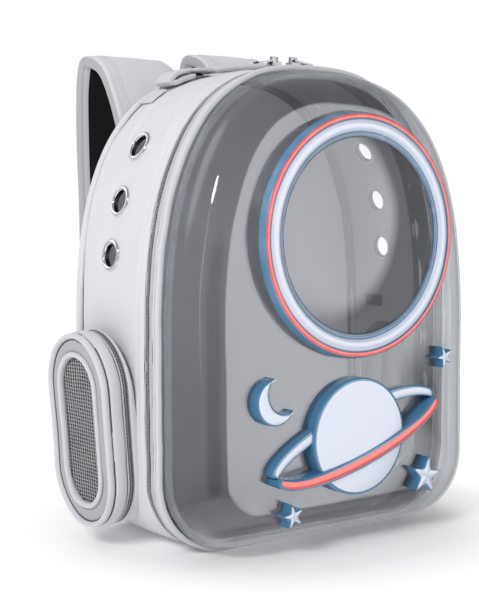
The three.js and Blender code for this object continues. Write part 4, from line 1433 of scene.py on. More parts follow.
@dataclass
class ClearFront:
    """The domed clear front, its round window and the raised emblem."""

    finishes: Finishes
    outline: Outline = OUTLINE
    rim_y: float = -71.0
    rim: float = 3.0
    draft: float = 5.0
    depth: float = 54.0
    corner: float = 36.0
    crown: float = 5.0
    wall: float = 1.8
    window: Pair = (0.0, 272.0)
    cut_radius: float = 94.0
    cut_front: float = -120.0
    stars: tuple[Rgba, ...] = (
        (-70.0, 38.0, 11.0, 12.0), (82.0, 54.0, 17.0, -10.0), (104.0, 160.0, 10.0, 20.0)
    )

    def dome(self) -> None:
        """The dome, open where the window's ring covers it, with its flange inside the zip."""
        hub, radius = self.rim + self.draft + self.corner, self.corner
        arc = [(hub - radius * math.cos(a), 18 + radius * math.sin(a)) for a in np.linspace(0, math.pi / 2, 15)]
        low = [(11.0, 1.9), (7.0, 1.7), (4.6, 1.2), (3.4, 2.0), (3.3, 4.5), (5.0, 11.0)]
        line = Line(np.array(low + arc))
        turn = 0.52

        def place(u: Array, v: Array) -> Array:
            """The dome's outside."""
            inset, reach = line.at(np.minimum(v / turn, 1)).T
            x, z = self.outline.at(u, inset)
            share = 1 - np.clip((v - turn) / (1 - turn), 0, 1)
            x, z = x * share, 210 + (z - 210) * share
            warp = 0.35 * ripple(x / 90, z / 90, 71) * ease(10, 50, reach)
            return np.stack([x, self.rim_y - reach - self.crown * (1 - share**2) - warp, z], -1)

        obj = swept("clear_dome", 360, 84, place, (self.outline.length, 300.0), True)
        face_out(obj, np.array([[0, -1, 0]]))
        middles = face_middles(obj)
        far = np.hypot(middles[:, 0], middles[:, 2] - self.window[1] * MM)
        drop_faces(obj, (far < self.cut_radius * MM) & (middles[:, 1] < self.cut_front * MM))
        apply(obj, "SOLIDIFY", thickness=self.wall * MM, offset=-1)
        smooth(obj, 50)
        dress(obj, [self.finishes.clear], ["clear_shell"])

    def round_window(self) -> None:
        """The raised printed ring and the clear bulge inside it."""
        ring = [
            (105.5, 62.5), (104.9, 66.0), (104.3, 68.8), (103.0, 70.6), (101.0, 71.2), (99.2, 70.6),
            (98.8, 69.8), (97.8, 70.6), (95.8, 71.8), (93.2, 72.2), (90.6, 71.7), (89.2, 70.2), (88.4, 68.8),
            (86.8, 68.2), (85.2, 68.6), (83.7, 67.9), (84.6, 65.5), (90.0, 64.5), (99.0, 63.5), (103.0, 61.8),
        ]
        skirt = [
            (107.4, 50.0), (106.8, 54.0), (105.9, 59.0), (105.4, 62.6), (103.8, 62.4), (104.4, 58.0), (105.6, 50.0),
        ]
        centre = Matrix.Translation((self.window[0], self.rim_y, self.window[1]))
        facing = centre @ Matrix.Rotation(math.pi / 2, 4, "X")
        obj = turned("window_ring", centripetal(ring, 3, True), 160, facing)
        smooth(obj, 50)
        dress(obj, [self.finishes.ring])
        wall = turned("window_skirt", centripetal(skirt, 2, True), 128, facing)
        smooth(wall, 50)
        dress(wall, [self.finishes.clear])
        rows = np.linspace(0, 1, 25)
        line = Line(np.stack([85.5 * rows, 67.5 + 11 * (1 - rows**2)], -1))

        def place(u: Array, v: Array) -> Array:
            """The bulge's outside."""
            r, h = line.at(v).T
            local = np.stack([r * np.cos(u * math.tau), r * np.sin(u * math.tau), h], -1)
            return moved(local, facing)

        pane = swept("window_pane", 128, 24, place, (500.0, 86.0), True)
        face_out(pane, np.array([[0, -1, 0]]))
        apply(pane, "SOLIDIFY", thickness=self.wall * MM, offset=-1)
        smooth(pane, 60)
        dress(pane, [self.finishes.clear])

    def raised(
        self, name: str, outer: Line, inner: Line | None, reach: float, top: Material, border: float = 2.4
    ) -> None:
        """A raised, printed piece of the emblem, a thin pressed shell with blue walls.

        Args:
            name: The piece's name.
            outer: Its outline in X and Z, closed where there is no inner line.
            inner: The other edge of a band; without one, the piece runs in to its middle.
            reach: How far its face stands forwards of the rim.
            top: The print of its face.
            border: Width of the blue edge of its face.
        """
        centre = outer.points[:-1].mean(axis=0)
        wall = [(0.0, 50.0), (0.0, 56.0), (0.0, reach - 1.8), (0.25, reach - 0.8), (1.0, reach - 0.15)]
        wall += [(2.0, reach), (border, reach), (border + 0.5, reach + 0.1)]
        rows = Line(np.array(wall))
        shoulder = 0.42 if inner else 0.6
        cross = 34 if inner else 26

        def place(u: Array, v: Array) -> Array:
            """Points of the shell."""
            way = 1 - np.abs(2 * v - 1) if inner else v
            a = outer.at(u)
            b = inner.at(u) if inner else np.broadcast_to(centre, a.shape)
            if inner:
                tip = np.sqrt(np.clip(1 - (1 - np.minimum(np.minimum(u, 1 - u) / 0.045, 1)) ** 2, 0, 1))[:, None]
                a, b = (a + b) / 2 + (a - b) / 2 * tip, (a + b) / 2 + (b - a) / 2 * tip
                a, b = np.where((v < 0.5)[:, None], a, b), np.where((v < 0.5)[:, None], b, a)
            gap = np.linalg.norm(b - a, axis=1)
            limit = gap / 2 if inner else gap
            d, h = rows.at(np.minimum(way / shoulder, 1)).T
            over = np.clip((way - shoulder) / (1 - shoulder), 0, 1)
            d = np.minimum(d + (limit - border - 0.5).clip(0) * over, limit)
            h = h + np.minimum(limit * 0.05, 1.4) * (1 - (1 - over) ** 2)
            flat = a + (b - a) * (d / np.maximum(gap, 1e-6))[:, None]
            return np.stack([flat[:, 0], self.rim_y - h, flat[:, 1]], -1)

        obj = swept(name, 150, cross, place, (outer.length, 100.0), inner is None)
        way = across_faces(obj) / 100
        way = 1 - np.abs(2 * way - 1) if inner else way
        front = np.array([[0, -1, 0]])
        face_out(obj, front)
        finish_faces(obj, way > shoulder * 0.96, 1)
        edit(obj, lambda: bpy.ops.mesh.remove_doubles(threshold=2e-5))
        apply(obj, "SOLIDIFY", thickness=0.8 * MM, offset=-1)
        smooth(obj, 50)
        dress(obj, [self.finishes.blue_ink, top])

    def emblem(self) -> None:
        """A ringed planet, three stars and a moon."""
        f = self.finishes
        angles = np.linspace(0, math.tau, 97)
        disc = Line(np.stack([51 * np.cos(angles), 99 + 51 * np.sin(angles)], -1))
        self.raised("planet_face", disc, None, 67.0, f.white_ink, 3.0)
        self.raised("planet_band", *self.half_orbit(math.pi), 70.0, f.red_ink)
        self.raised("planet_band_far", *self.half_orbit(0.0), 64.0, f.white_ink)
        for i, (x, z, radius, turn) in enumerate(self.stars):
            a = math.pi / 2 + np.arange(10) * math.pi / 5 + math.radians(turn)
            r = np.where(np.arange(10) % 2, 0.5, 1.0) * radius
            star = centripetal(np.stack([x + r * np.cos(a), z + r * np.sin(a)], -1), 8, True)
            self.raised(f"star_{i + 1}", Line(star), None, 64.0, f.white_ink, 1.6)
        self.raised("moon", *self.crescent(-88, 136, 20, 35), 64.0, f.white_ink, 1.8)

    def half_orbit(self, start: float) -> tuple[Line, Line]:
        """The two edges of half of the band round the planet, from an angle in radians."""
        turn, a = math.radians(17), np.linspace(start, start + math.pi, 49)
        edges = []
        for depth in (0.0, 12.0):
            x, z = (97 - depth) * np.cos(a), (27 - depth) * np.sin(a)
            tilted = (x * math.cos(turn) - z * math.sin(turn), 99 + x * math.sin(turn) + z * math.cos(turn))
            edges.append(Line(np.stack(tilted, -1)))
        return edges[0], edges[1]

    def crescent(self, x: float, z: float, radius: float, turn: float) -> tuple[Line, Line]:
        """The outer and the inner edge of a crescent moon."""
        shift, bite = radius * 0.62, radius * 0.86
        start = math.acos((radius**2 + shift**2 - bite**2) / (2 * radius * shift))
        inner = math.acos((bite**2 + shift**2 - radius**2) / (2 * bite * shift))
        a = np.linspace(start, math.tau - start, 49)
        b = np.linspace(math.pi - inner, math.pi + inner, 49)
        t = math.radians(turn)
        edges = []
        for px, pz in ((radius * np.cos(a), radius * np.sin(a)), (shift + bite * np.cos(b), bite * np.sin(b))):
            laid = (x + px * math.cos(t) - pz * math.sin(t), z + px * math.sin(t) + pz * math.cos(t))
            edges.append(Line(np.stack(laid, -1)))
        return edges[0], edges[1]

    def build(self) -> None:
        """Makes the clear front."""
        self.dome()
        self.round_window()
        self.emblem()


# ---------------------------------------------------------------- side vents


@dataclass
class SideVent:
    """One zipped side vent with its net window."""

    finishes: Finishes
    side: Side
    path: Stadium = field(default_factory=lambda: Stadium(99.0, 172.0))
    cell: Pair = (3.9, 3.24)
    zip_out: float = 9.1
    steps: int = 200

    def ring(self, section: Array, name: str, seed: int, loose: float = 0.25) -> Piece:
        """A closed band of one section round the vent."""
        line = Line(section)
        matrix = vent_matrix(self.side)

        def place(u: Array, v: Array) -> Array:
            """Points of the band."""
            inset, out = line.at(v).T
            angle = u * math.tau
            sway = loose * ripple(np.cos(angle) * 1.3, np.sin(angle) * 1.3, seed)
            a, up = self.path.at(u, inset - sway)
            out = out + 0.6 * sway * ease(20, 28, out)
            return moved(np.stack([a, up, out], -1), matrix)

        return hoop(name, self.steps, line, place, self.path.length)

    def collar(self) -> None:
        """The rear band, sewn on to the curved wall."""
        matrix = vent_matrix(self.side)

        def place(u: Array, v: Array) -> Array:
            """Points of the band, from the wall outwards."""
            a, up = self.path.at(u, 0.0)
            height = 105 + up
            wall = OUTLINE.half_width(np.clip(height, 0.5, 400)) - BODY.width / 2
            sink = (wall - 1.2) + up * math.sin(math.radians(4))
            out = sink + (5.9 - sink) * v
            swell = 0.7 * np.sin(np.pi * v) ** 0.7
            a, up = self.path.at(u, -swell + 0.6 * np.exp(-((1 - v) / 0.12) ** 2))
            return moved(np.stack([a, up, out], -1), matrix)

        obj = swept(f"vent_base_{self.side.tag}", self.steps, 10, place, (self.path.length, 10.0), True)
        middles = face_middles(obj)
        centre = np.array(matrix.translation) * MM
        face_out(obj, (middles - centre) * np.array([[0, 1, 1]]))
        apply(obj, "SOLIDIFY", thickness=2.2 * MM, offset=-1)
        smooth(obj, 60)
        dress(obj, [self.finishes.vent_cloth], [f"vent_collar_{self.side.tag}"])

    def zip(self) -> None:
        """The zip between the rear band and the front."""
        tape = [
            (1.0, 5.9), (0.1, 6.3), (0.0, 7.2), (1.5, 7.5), (1.7, 9.1), (1.5, 10.7), (0.0, 11.0), (0.0, 12.0),
            (1.0, 12.6), (3.2, 12.6), (3.3, 9.1), (3.2, 5.9),
        ]
        obj = self.ring(centripetal(tape, 2, True), f"vent_tape_{self.side.tag}", 81, 0.1)
        out = moved(face_middles(obj) / MM, vent_matrix(self.side).inverted())[:, 2]
        off = np.abs(out - self.zip_out)
        finish_faces(obj, (np.abs(off - 1.35) < 0.62) | (off > 3.1), 1)
        smooth(obj, 60)
        dress(obj, [self.finishes.tape, self.finishes.seam])
        count = int(self.path.length / 1.5)
        share = (np.arange(count) + 0.5) / count
        a, up = self.path.at(share, 1.0)
        a1, up1 = self.path.at(share, 0.0)
        matrix = np.array(vent_matrix(self.side))
        places = []
        for i in range(count):
            n = np.array([a1[i] - a[i], up1[i] - up[i], 0.0])
            local = np.eye(4)
            local[:3, 0] = (0, 0, 1)
            local[:3, 1] = (-n[1], n[0], 0)
            local[:3, 2] = n
            local[:3, 3] = (a[i], up[i], self.zip_out + (0.3 if i % 2 else -0.3))
            made = matrix @ local
            made[:3, 3] *= MM
            places.append(made)
        coil = strewn(f"vent_coil_{self.side.tag}", zip_tooth(1.7, 1.0, 1.9), places)
        outward(coil)
        smooth(coil, 60)
        dress(coil, [self.finishes.coil], [f"vent_zip_{self.side.tag}"])

    def front(self) -> None:
        """The puffed front with its rolled rim and recessed face."""
        section = [
            (2.2, 12.6), (0.7, 13.0), (-0.2, 14.4), (-0.7, 17.4), (-0.4, 21.0), (0.4, 23.3), (2.4, 24.3),
            (1.1, 25.2), (0.3, 26.6), (0.3, 28.6), (1.0, 30.2), (2.4, 31.0), (3.9, 30.6), (4.9, 29.2),
            (5.5, 27.4), (6.1, 26.9), (7.2, 27.8), (10.5, 28.4), (14.8, 28.2), (16.0, 27.2), (20.5, 27.0), (21.4, 26.6),
            (21.4, 25.6), (20.5, 25.1), (12.0, 25.1), (6.0, 24.6), (3.6, 21.0), (3.2, 16.0), (3.2, 12.7),
        ]
        obj = self.ring(centripetal(section, 3, True), f"vent_front_{self.side.tag}", 91, 0.5)
        middles = moved(face_middles(obj) / MM, vent_matrix(self.side).inverted())
        beyond = np.maximum(np.abs(middles[:, 1]) - self.path.run / 2, 0)
        inset = self.path.radius - np.hypot(middles[:, 0], beyond)
        finish_faces(obj, (inset > 5.6) & (middles[:, 2] > 25.6), 1)
        finish_faces(obj, (inset > 2.9) & (middles[:, 2] < 25.4), 2)
        seams = (inset > 1.0) & (np.abs(middles[:, 2] - 24.3) < 0.75) & (inset < 2.9)
        seams |= (inset > 4.9) & (inset < 6.5) & (middles[:, 2] > 25.6) & (middles[:, 2] < 28.0)
        finish_faces(obj, seams, 3)
        smooth(obj, 50)
        f = self.finishes
        dress(obj, [f.vent_cloth, f.face, f.lining, f.seam], [f"vent_face_{self.side.tag}"])
        trim = [(16.9, 27.4), (16.7, 28.9), (17.4, 30.0), (18.8, 30.4), (20.3, 30.1), (21.4, 28.9), (21.6, 26.2),
                (20.6, 25.6), (20.0, 27.6)]
        rolled = self.ring(centripetal(trim, 3, True), f"vent_rim_{self.side.tag}", 95, 0.45)
        smooth(rolled, 60)
        dress(rolled, [self.finishes.vent_cloth], [f"vent_trim_{self.side.tag}"])

    def cut_net(
        self, name: str, cells: tuple[int, int], size: Pair, run: float, radius: float
    ) -> Piece:
        """A flat grid, cut to a loop with round ends.

        Args:
            name: The piece's name.
            cells: Its cells across and up.
            size: Its width and height in millimetres, before it is cut.
            run: Half the length of the loop's straight sides.
            radius: Radius of the loop's ends.

        Returns:
            The grid, round the origin.
        """
        clear_selection()
        bpy.ops.mesh.primitive_grid_add(x_subdivisions=cells[0], y_subdivisions=cells[1], size=1)
        obj = take(name)
        put_corners(obj, corners(obj) * np.array([[*size, 0]]) * MM)
        middles = face_middles(obj) / MM
        beyond = np.maximum(np.abs(middles[:, 1]) - run, 0)
        drop_faces(obj, np.hypot(middles[:, 0], beyond) > radius)
        return obj

    def net(self) -> None:
        """The woven net: a grid cut to the window and turned into strands."""
        obj = self.cut_net(f"vent_net_{self.side.tag}", (17, 40), (17 * self.cell[0], 40 * self.cell[1]), 32, 31.5)
        apply(obj, "WIREFRAME", thickness=1.25 * MM, use_even_offset=False, use_replace=True)
        x, y, z = (corners(obj) / MM).T
        sag = 0.5 * ripple(x / 50, y / 50, 101)
        over = 0.28 * np.cos(x * math.pi / self.cell[0]) * np.cos(y * math.pi / self.cell[1])
        across, up = x + 0.25 * ripple(y / 30, x / 60, 103), y + 0.2 * ripple(x / 30, y / 60, 105)
        local = np.stack([across, up, 24.25 + z + sag * 0.6 + over], -1)
        put_corners(obj, moved(local, vent_matrix(self.side)) * MM)
        outward(obj)
        smooth(obj, 70)
        dress(obj, [self.finishes.net], [f"vent_mesh_{self.side.tag}"])

    def shade_sheet(self) -> None:
        """A dark see-through sheet inside the coarse net: painted shade in the hollow of the vent."""
        obj = self.cut_net(f"vent_backing_{self.side.tag}", (24, 48), (62.0, 134.0), 34, 31.0)
        x, y, _ = (corners(obj) / MM).T
        sag = 0.6 * ripple(x / 50, y / 50, 107)
        put_corners(obj, moved(np.stack([x, y, 22.6 + sag], -1), vent_matrix(self.side)) * MM)
        face_out(obj, np.array([[self.side.value, 0, 0]]))
        obj.data.uv_layers[0].name = "threads"
        smooth(obj, 60)
        dress(obj, [self.finishes.shade_sheet])

    def build(self) -> None:
        """Makes the vent."""
        self.shade_sheet()
        self.collar()
        self.zip()
        self.front()
        self.net()


# ---------------------------------------------------------------- fittings


@dataclass
class Eyelets:
    """The plated eyelets of both sides."""

    finishes: Finishes

    def build(self) -> None:
        """Makes the six eyelets, each a turned ring that grips the wall."""
        profile = [
            (9.6, -2.4), (9.8, -3.6), (11.0, -4.2), (12.6, -4.0), (12.8, -3.4), (11.0, -3.0), (10.8, -1.6),
            (10.8, 0.0), (12.4, 0.1), (13.9, 0.2), (14.1, 0.7), (13.3, 1.6), (12.0, 2.1), (10.7, 1.8), (9.8, 0.8),
        ]
        for side in Side:
            for i, (height, depth) in enumerate(BODY.eyelets):
                matrix = eyelet_matrix(side, height, depth)
                obj = turned(f"eyelet_ring_{side.tag}_{i + 1}", centripetal(profile, 3, True), 56, matrix)
                local = moved(face_middles(obj) / MM, matrix.inverted())
                # Faces inside the hole take the darkened plate: painted shade in the barrel.
                finish_faces(obj, (local[:, 2] < 0.7) & (np.hypot(local[:, 0], local[:, 1]) < 11), 1)
                smooth(obj, 50)
                finishes = [self.finishes.chrome, self.finishes.shaded_barrel]
                dress(obj, finishes, [f"eyelet_{side.tag}_{i + 1}"])


@dataclass
class CarryHandle:
    """The carry handle: a soft band folded under itself at both ends, and its wrapped grip."""

    finishes: Finishes
    width: float = 26.0
    y: float = 46.1
    grip: Pair = (0.36, 0.7)
    lifts: tuple[Pair, ...] = (
        (-52, 2.7), (-64, 2.8), (-74, 3.3), (-80, 6.6), (-75, 9.9), (-64, 9.9), (-50, 7.8), (-36, 5.8), (-20, 5.6),
        (0, 7.4), (20, 10.0), (39, 12.6), (50, 11.0), (62, 8.2), (73, 6.6), (77, 4.2), (72, 2.0), (60, 1.9), (50, 1.9),
    )

    def route(self) -> Line:
        """The band's middle line in X and Z, from its left end to its right end."""
        return Line(centripetal([(x, float(BODY.top(np.array(x))) + lift) for x, lift in self.lifts], 14))

    def strip(self, name: str, start: float, end: float, half: float, thick: float, seed: int) -> Piece:
        """A padded strip along a part of the route.

        Args:
            name: The piece's name.
            start: Share of the route at which it begins.
            end: Share at which it ends.
            half: Half its width.
            thick: Half its thickness.
            seed: Fixes its unevenness.

        Returns:
            The strip, closed at its ends.
        """
        line = self.route()
        section = Line(rounded_section(half, thick, thick, 0.3))

        def place(u: Array, v: Array) -> Array:
            """Points of the strip."""
            way = start + (end - start) * u
            x, z = line.at(way).T
            dx, dz = line.along(way).T
            a, h = section.at(v).T
            near = np.exp(-((np.minimum(u, 1 - u) * line.length * (end - start) / 2.4) ** 2))
            puff = 1 - 0.3 * near + 0.08 * ripple(way * 22, v * 2, seed) + 0.6 * ease(0.27, 0.14, way)
            across = a * (1 + 0.03 * ripple(way * 14, v, seed + 1) - 0.05 * near)
            return np.stack([x - dz * h * puff, self.y + across, z + dx * h * puff], -1)

        length = line.length * (end - start)
        return tube(name, 190, section, place, length)

    def anchors(self) -> None:
        """The stitched patches beyond the folded ends."""
        for side in Side:
            section = Line(rounded_section(10.5, 1.8, 1.6, 0.4))

            def place(u: Array, v: Array) -> Array:
                """Points of the patch, lying on the top."""
                reach = 84 + 15 * u
                a, h = section.at(v).T
                z = BODY.top(reach) + 1.4 + h * (1 - 0.35 * np.exp(-((np.minimum(u, 1 - u) * 16 / 2) ** 2)))
                return np.stack([side.value * reach, self.y + a, z], -1)

            name = f"handle_patch_{side.tag}"
            obj = tube(name, 16, section, place, 16.0)
            dress(obj, [self.finishes.hem])

    def build(self) -> None:
        """Makes the handle."""
        band = self.strip("handle_strap", 0.0, 1.0, self.width / 2 - 0.3, 1.7, 111)
        dress(band, [self.finishes.hem], ["handle_band"])
        wrap = self.strip("handle_wrap", *self.grip, self.width / 2 + 1.4, 2.9, 115)
        dress(wrap, [self.finishes.hem], ["handle_grip"])
        self.anchors()


def rounded_section(half: float, thick: float, edge: float, crown: float) -> Array:
    """The closed section of a flat strap.

    Args:
        half: Half its width.
        thick: Half its thickness.
        edge: How far its edges are rounded.
        crown: How much thicker it is in its middle.

    Returns:
        Closed line of across and height, from the middle of the top.
    """
    edge = min(edge, thick)
    a = np.linspace(0, math.pi / 2, 5)
    flat = np.linspace(0, half - edge, 7)
    top = [(x, thick + crown * (1 - (x / half) ** 2) - crown) for x in flat]
    for t in a[1:]:
        height = thick - edge + edge * math.cos(t) - crown * (1 - math.cos(t))
        top.append((half - edge + edge * math.sin(t), height))
    right = top + [(x, -z) for x, z in reversed(top)]
    left = [(-x, z) for x, z in reversed(right)]
    return np.array(right + left[1:])


@dataclass
class ShoulderStrap:
    """One padded shoulder strap and its webbing, which runs down from the buckle."""

    finishes: Finishes
    side: Side
    thickness: float = 12.0
    centre: float = 60.0
    mesh_half: float = 35.0
    binding_from: float = 41.0
    cloth_half: float = 44.0

    def middle(self) -> Line:
        """The strap's middle line in Y and Z."""
        base, bow = BODY.back_y + 0.3 + self.thickness / 2, 95 - self.thickness / 2
        top = 447.5 + 4.0 * self.side.value - self.thickness / 2
        rise, fall = top - 318, top - 150
        up = ((0, 0), (0.02, 0.15), (0.11, 0.37), (0.3, 0.67), (0.53, 0.9), (0.78, 0.985), (0.93, 0.985))
        down = ((0.995, 0.075), (1, 0.25), (1, 0.48), (0.965, 0.72), (0.88, 0.89), (0.79, 1))
        points = [(base + b * bow, 318 + r * rise) for b, r in up] + [(base + b * bow, top - f * fall) for b, f in down]
        return Line(centripetal(points, 12))

    def pad(self) -> None:
        """The padded strap: cloth outside, black mesh inside and a bound edge."""
        line = self.middle()
        thick = self.thickness / 2
        rows = [
            (0, 0.2), (12, 0.2), (24, 0.1), (31, -0.3), (33.4, -1.5), (35.8, -0.5), (38.5, -0.3), (41.4, -0.9),
            (42.9, -2.6), (43.0, -6.0), (42.9, -9.2), (41.6, -11.0), (39.0, -11.6), (36.5, -11.5), (34.8, -12.2),
            (30, -11.9), (16, -11.6),
        ]
        right = [(a, thick + h) for a, h in rows]
        section = Line(centripetal(right + [(-a, h) for a, h in reversed(right[1:])], 2, True))
        x0 = self.side.value * self.centre

        def place(u: Array, v: Array) -> Array:
            """Points of the strap."""
            y, z = line.at(u).T
            dy, dz = line.along(u).T
            a, h = section.at(v).T
            way = u * line.length
            slack = ease(0.5, 6, h) * (0.5 * ripple(way / 90, a / 60, 121) + 0.25 * ripple(way / 34, a / 30, 123))
            end = np.sqrt(np.clip(1 - (np.clip(way - line.length + 14, 0, 14) / 14) ** 2 * 0.55, 0, 1))
            h = h * (0.55 + 0.45 * end) + slack
            sway = 0.7 * ripple(way / 110, 0 * way, 125) * np.sign(a)
            return np.stack([x0 + a * (1 - 0.04 * (1 - end)) + sway, y - dz * h, z + dy * h], -1)

        name, across = f"strap_cushion_{self.side.tag}", len(section.points) - 1
        obj = swept(name, 190, across, place, (line.length, section.length), False, True)
        half_round = section.length / 2
        from_middle = np.abs(across_faces(obj) - half_round)
        finish_faces(obj, from_middle < self.mesh_half, 1)
        finish_faces(obj, (from_middle < half_round - self.cloth_half) & (from_middle > self.binding_from), 2)
        close_ends(obj)
        smooth(obj, 50)
        f = self.finishes
        dress(obj, [f.strap, f.mesh, f.strap_bound], [f"strap_pad_{self.side.tag}"])

    def webbing(self) -> None:
        """The webbing from the buckle down to its seam on the back panel."""
        line = self.middle()
        end, near = line.points[-1], line.points[-13]
        fall = np.array([0, end[0] - near[0], end[1] - near[1]])
        fall /= np.linalg.norm(fall)
        inwards = np.cross([1, 0, 0], fall)
        top = np.array([self.side.value * self.centre, end[0], end[1]]) + fall * 0.3

        def beside(down: float) -> Array:
            """A point beside the buckle's inner face."""
            return top + fall * down + inwards * 4.1

        x = self.side.value * 92.0
        foot = [x, 73.3, 40.0]
        route = Line(centripetal([foot, [x, 75.3, 65.0], beside(60), beside(30), beside(5)], 12))
        section = Line(rounded_section(12.4, 0.95, 0.8, 0.1))

        def place(u: Array, v: Array) -> Array:
            """Points of the webbing."""
            p, d = route.at(u), route.along(u)
            n = np.array([[0, 1, 0]]) - d * d[:, 1:2]
            n /= np.maximum(np.linalg.norm(n, axis=1, keepdims=True), 1e-9)
            a, h = section.at(v).T
            return p + n * h[:, None] + np.cross(n, d) * a[:, None]

        obj = tube(f"strap_band_{self.side.tag}", 90, section, place, route.length)
        dress(obj, [self.finishes.band], [f"strap_webbing_{self.side.tag}"])

    def build(self) -> None:
        """Makes the strap."""
        self.pad()
        self.webbing()


@dataclass
class SmallWebbing:
    """The dark webbing loop in the clear front's corner and the tab on the right wall."""

    finishes: Finishes

    def build(self) -> None:
        """Makes both pieces."""
        path = Stadium(11.0, 36.0)
        edge = [(0.1, -0.6), (0.8, -1.0), (2.7, -1.0), (3.4, -0.6), (3.4, 0.6), (2.7, 1.0), (0.8, 1.0), (0.1, 0.6)]
        section = Line(centripetal(edge, 2, True))
        turn = Matrix.Translation((108, -74.4, 18)) @ Matrix.Rotation(math.radians(-11), 4, "Y")

        def place(u: Array, v: Array) -> Array:
            """Points of the loop."""
            inset, out = section.at(v).T
            up, a = path.at(u, inset)
            return moved(np.stack([a, out, up], -1), turn)

        obj = hoop("corner_loop", 72, section, place, path.length)
        smooth(obj, 50)
        dress(obj, [self.finishes.webbing], ["webbing_loop"])
        low, high = (np.array(c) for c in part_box("webbing_tab"))
        clear_selection()
        bpy.ops.mesh.primitive_cube_add(size=1, location=tuple((low + high) / 2))
        tab = take("wall_tab")
        tab.scale = tuple(high - low)
        settle(tab)
        edit(
            tab,
            lambda: bpy.ops.mesh.bevel(offset=0.5 * MM, segments=2, affect="EDGES"),
            lambda: bpy.ops.mesh.subdivide(number_cuts=3),
            lambda: bpy.ops.uv.cube_project(cube_size=1.0),
        )
        tab.data.uv_layers[0].name = "threads"
        smooth(tab, 50)
        dress(tab, [self.finishes.webbing], ["webbing_tab"])


@dataclass
class HardFittings:
    """Zip sliders, their pulls and the strap buckles, which keep their CAD shape."""

    finishes: Finishes

    def build(self) -> None:
        """Gives each CAD node its finish."""
        for side in Side:
            for name, finish in (
                (f"zip_slider_{side.tag}", self.finishes.slider),
                (f"zip_pull_{side.tag}", self.finishes.slider),
                (f"strap_buckle_{side.tag}", self.finishes.buckle),
            ):
                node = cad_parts[name]
                for slot in node.material_slots:
                    slot.material = finish


# ---------------------------------------------------------------- studio


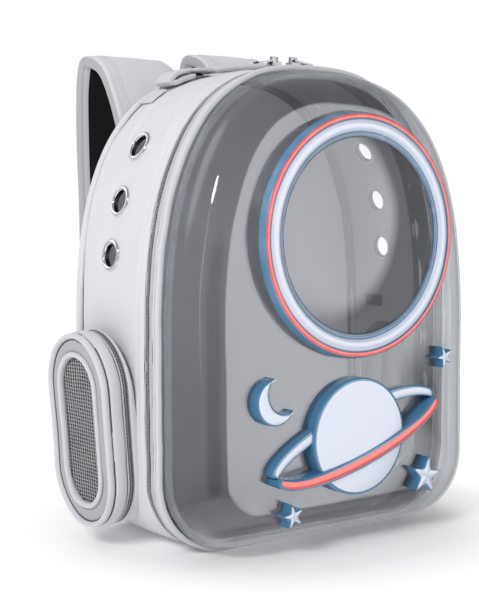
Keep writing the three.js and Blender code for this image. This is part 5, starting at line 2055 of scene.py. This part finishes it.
@dataclass
class Studio:
    """The floor, the soft lights and the camera at the photograph's angle."""

    eye: Triple = (-0.75498, -1.00765, 0.30773)
    azimuth: float = -35.798
    elevation: float = 4.499
    roll: float = -0.215
    lens: float = 80.69
    cards: tuple[tuple[Triple, float, float, float], ...] = (
        ((0.40, -0.91, 0.06), 26.5, 31.5, 3.6),
        ((-0.62, -0.78, -0.12), 12.0, 24.0, 0.05),
        ((0.0, -0.2, -1.0), 48.0, 62.0, 1.1),
        ((-0.5, 0.72, 0.48), 14.0, 24.0, 1.5),
    )

    lamps: tuple[tuple[str, Triple, Triple, Pair, float, bool], ...] = (
        ("key", (-1.75, -0.95, 1.35), (0, 0, 0.2), (0.7, 0.7), 24.5, False),
        ("glint", (-1.92, -0.62, 1.4), (0, -0.1, 0.3), (0.26, 0.4), 3.6, True),
        ("strip", (-1.92, -0.62, 0.5), (0, -0.1, 0.25), (0.05, 1.3), 0.5, True),
        ("above", (0.3, -0.1, 2.2), (0, 0, 0.2), (1.8, 1.8), 7, False),
        ("fill", (0.9, 1.7, 1.1), (0, 0, 0.2), (1.2, 1.2), 9, False),
    )
    floor_fade: Pair = (0.175, 0.31)
    floor_glow: float = 1.12
    floor_lift: float = 0.1

    def camera(self) -> None:
        """The camera."""
        a, e = math.radians(self.azimuth), math.radians(self.elevation)
        back = Vector((math.sin(a) * math.cos(e), -math.cos(a) * math.cos(e), math.sin(e)))
        right = Vector((0, 0, 1)).cross(back).normalized()
        up = back.cross(right)
        r = math.radians(self.roll)
        x, y = right * math.cos(r) + up * math.sin(r), up * math.cos(r) - right * math.sin(r)
        data = bpy.data.cameras.new("camera")
        data.lens, data.sensor_width, data.sensor_fit = self.lens, 36.0, "AUTO"
        data.clip_start, data.clip_end = 0.05, 50.0
        obj = bpy.data.objects.new("camera", data)
        obj.matrix_world = Matrix((x, y, back)).transposed().to_4x4()
        obj.location = self.eye
        bpy.context.scene.collection.objects.link(obj)
        bpy.context.scene.camera = obj

    def light(
        self, name: str, place: Triple, aim: Triple, size: Pair, power: float, mirrored: bool
    ) -> None:
        """A soft oval light.

        Args:
            name: Its name.
            place: Where it stands, in metres.
            aim: The point that it looks at.
            size: Its width and height.
            power: Its power in watts.
            mirrored: Whether shiny things show it.
        """
        data = bpy.data.lights.new(name, "AREA")
        data.shape, data.size, data.size_y, data.energy = "ELLIPSE", size[0], size[1], power
        obj = bpy.data.objects.new(name, data)
        obj.location = place
        obj.visible_glossy = mirrored
        obj.rotation_mode = "QUATERNION"
        obj.rotation_quaternion = (Vector(aim) - Vector(place)).to_track_quat("-Z", "Y")
        bpy.context.scene.collection.objects.link(obj)

    def room(self) -> None:
        """A white room; shiny things see a darker one, with cards of other brightness in it."""
        world = bpy.data.worlds.new("room")
        bpy.context.scene.world = world
        world.use_nodes = True
        g = Graph(world.node_tree)
        shade = g.find("BACKGROUND")
        way = g.add("ShaderNodeTexCoord").outputs["Generated"]
        split = g.add("ShaderNodeSeparateXYZ")
        g.feed(split.inputs[0], way)
        path = g.add("ShaderNodeLightPath")
        across, up = split.outputs[0], split.outputs[2]
        soft = g.math("MULTIPLY", g.ramp(across, -1.0, 0.6, 0.42, 0.5), g.ramp(up, -0.1, 0.8, 0.75, 1.0))
        room = g.ramp(up, -0.5, 0.7, 0.62, 0.34)
        for aim, inner, outer, glow in self.cards:
            dot = g.add("ShaderNodeVectorMath", operation="DOT_PRODUCT")
            g.feed(dot.inputs[0], way)
            dot.inputs[1].default_value = Vector(aim).normalized()
            ends = (math.cos(math.radians(turn)) for turn in (outer, inner))
            inside = g.ramp(dot.outputs["Value"], *ends, 0, 1)
            room = g.add_mix(inside, room, glow)
        seen = g.mix(path.outputs["Is Glossy Ray"], soft, room)
        g.feed(shade.inputs["Color"], g.mix(path.outputs["Is Camera Ray"], seen, (1.0, 1.0, 1.0, 1.0)))
        preset(shade, Strength=1.0)

    def floor(self) -> None:
        """A plain pale floor that turns into the white of the room away from the object."""
        clear_selection()
        bpy.ops.mesh.primitive_plane_add(size=14, location=(0, 0, -0.0003))
        obj = take("floor")
        settle(obj)
        material = bpy.data.materials.new("pale floor")
        material.use_nodes = True
        g = Graph(material.node_tree)
        shader = g.find("BSDF_PRINCIPLED")
        place = g.place()
        shade = g.mix(g.noise(place, 3.0), (0.96, 0.96, 0.96, 1), (0.98, 0.98, 0.98, 1))
        g.feed(shader.inputs["Base Color"], shade)
        preset(shader, Roughness=0.7, Specular_IOR_Level=0.2)
        preset(shader, Emission_Color=(1.0, 1.0, 1.0, 1.0), Emission_Strength=self.floor_lift)
        far = g.add("ShaderNodeVectorMath", operation="LENGTH")
        g.feed(far.inputs[0], place)
        glow = g.add("ShaderNodeEmission")
        preset(glow, Strength=self.floor_glow)
        blend = g.add("ShaderNodeMixShader")
        g.feed(blend.inputs[0], g.ramp(far.outputs["Value"], *self.floor_fade, 0.0, 1.0))
        g.feed(blend.inputs[1], shader.outputs[0])
        g.feed(blend.inputs[2], glow.outputs[0])
        out = g.find("OUTPUT_MATERIAL")
        g.feed(out.inputs["Surface"], blend.outputs[0])
        obj.data.materials.append(material)
        obj.visible_glossy = False

    def build(self) -> None:
        """Sets the studio."""
        self.camera()
        self.room()
        self.floor()
        for lamp in self.lamps:
            self.light(*lamp)
        bpy.context.scene.view_settings.view_transform = "Standard"


def main() -> None:
    """Builds the studio and every sub-assembly, in order."""
    logging.basicConfig(level=logging.INFO, format="%(name)s: %(message)s")
    finishes = Finishes()
    Studio().build()
    assemblies = [FabricBody(finishes), ZipRim(finishes), ClearFront(finishes)]
    assemblies += [SideVent(finishes, side) for side in Side]
    assemblies += [Eyelets(finishes), CarryHandle(finishes)]
    assemblies += [ShoulderStrap(finishes, side) for side in Side]
    assemblies += [SmallWebbing(finishes), HardFittings(finishes)]
    for assembly in assemblies:
        assembly.build()


if __name__ == "__main__":
    main()
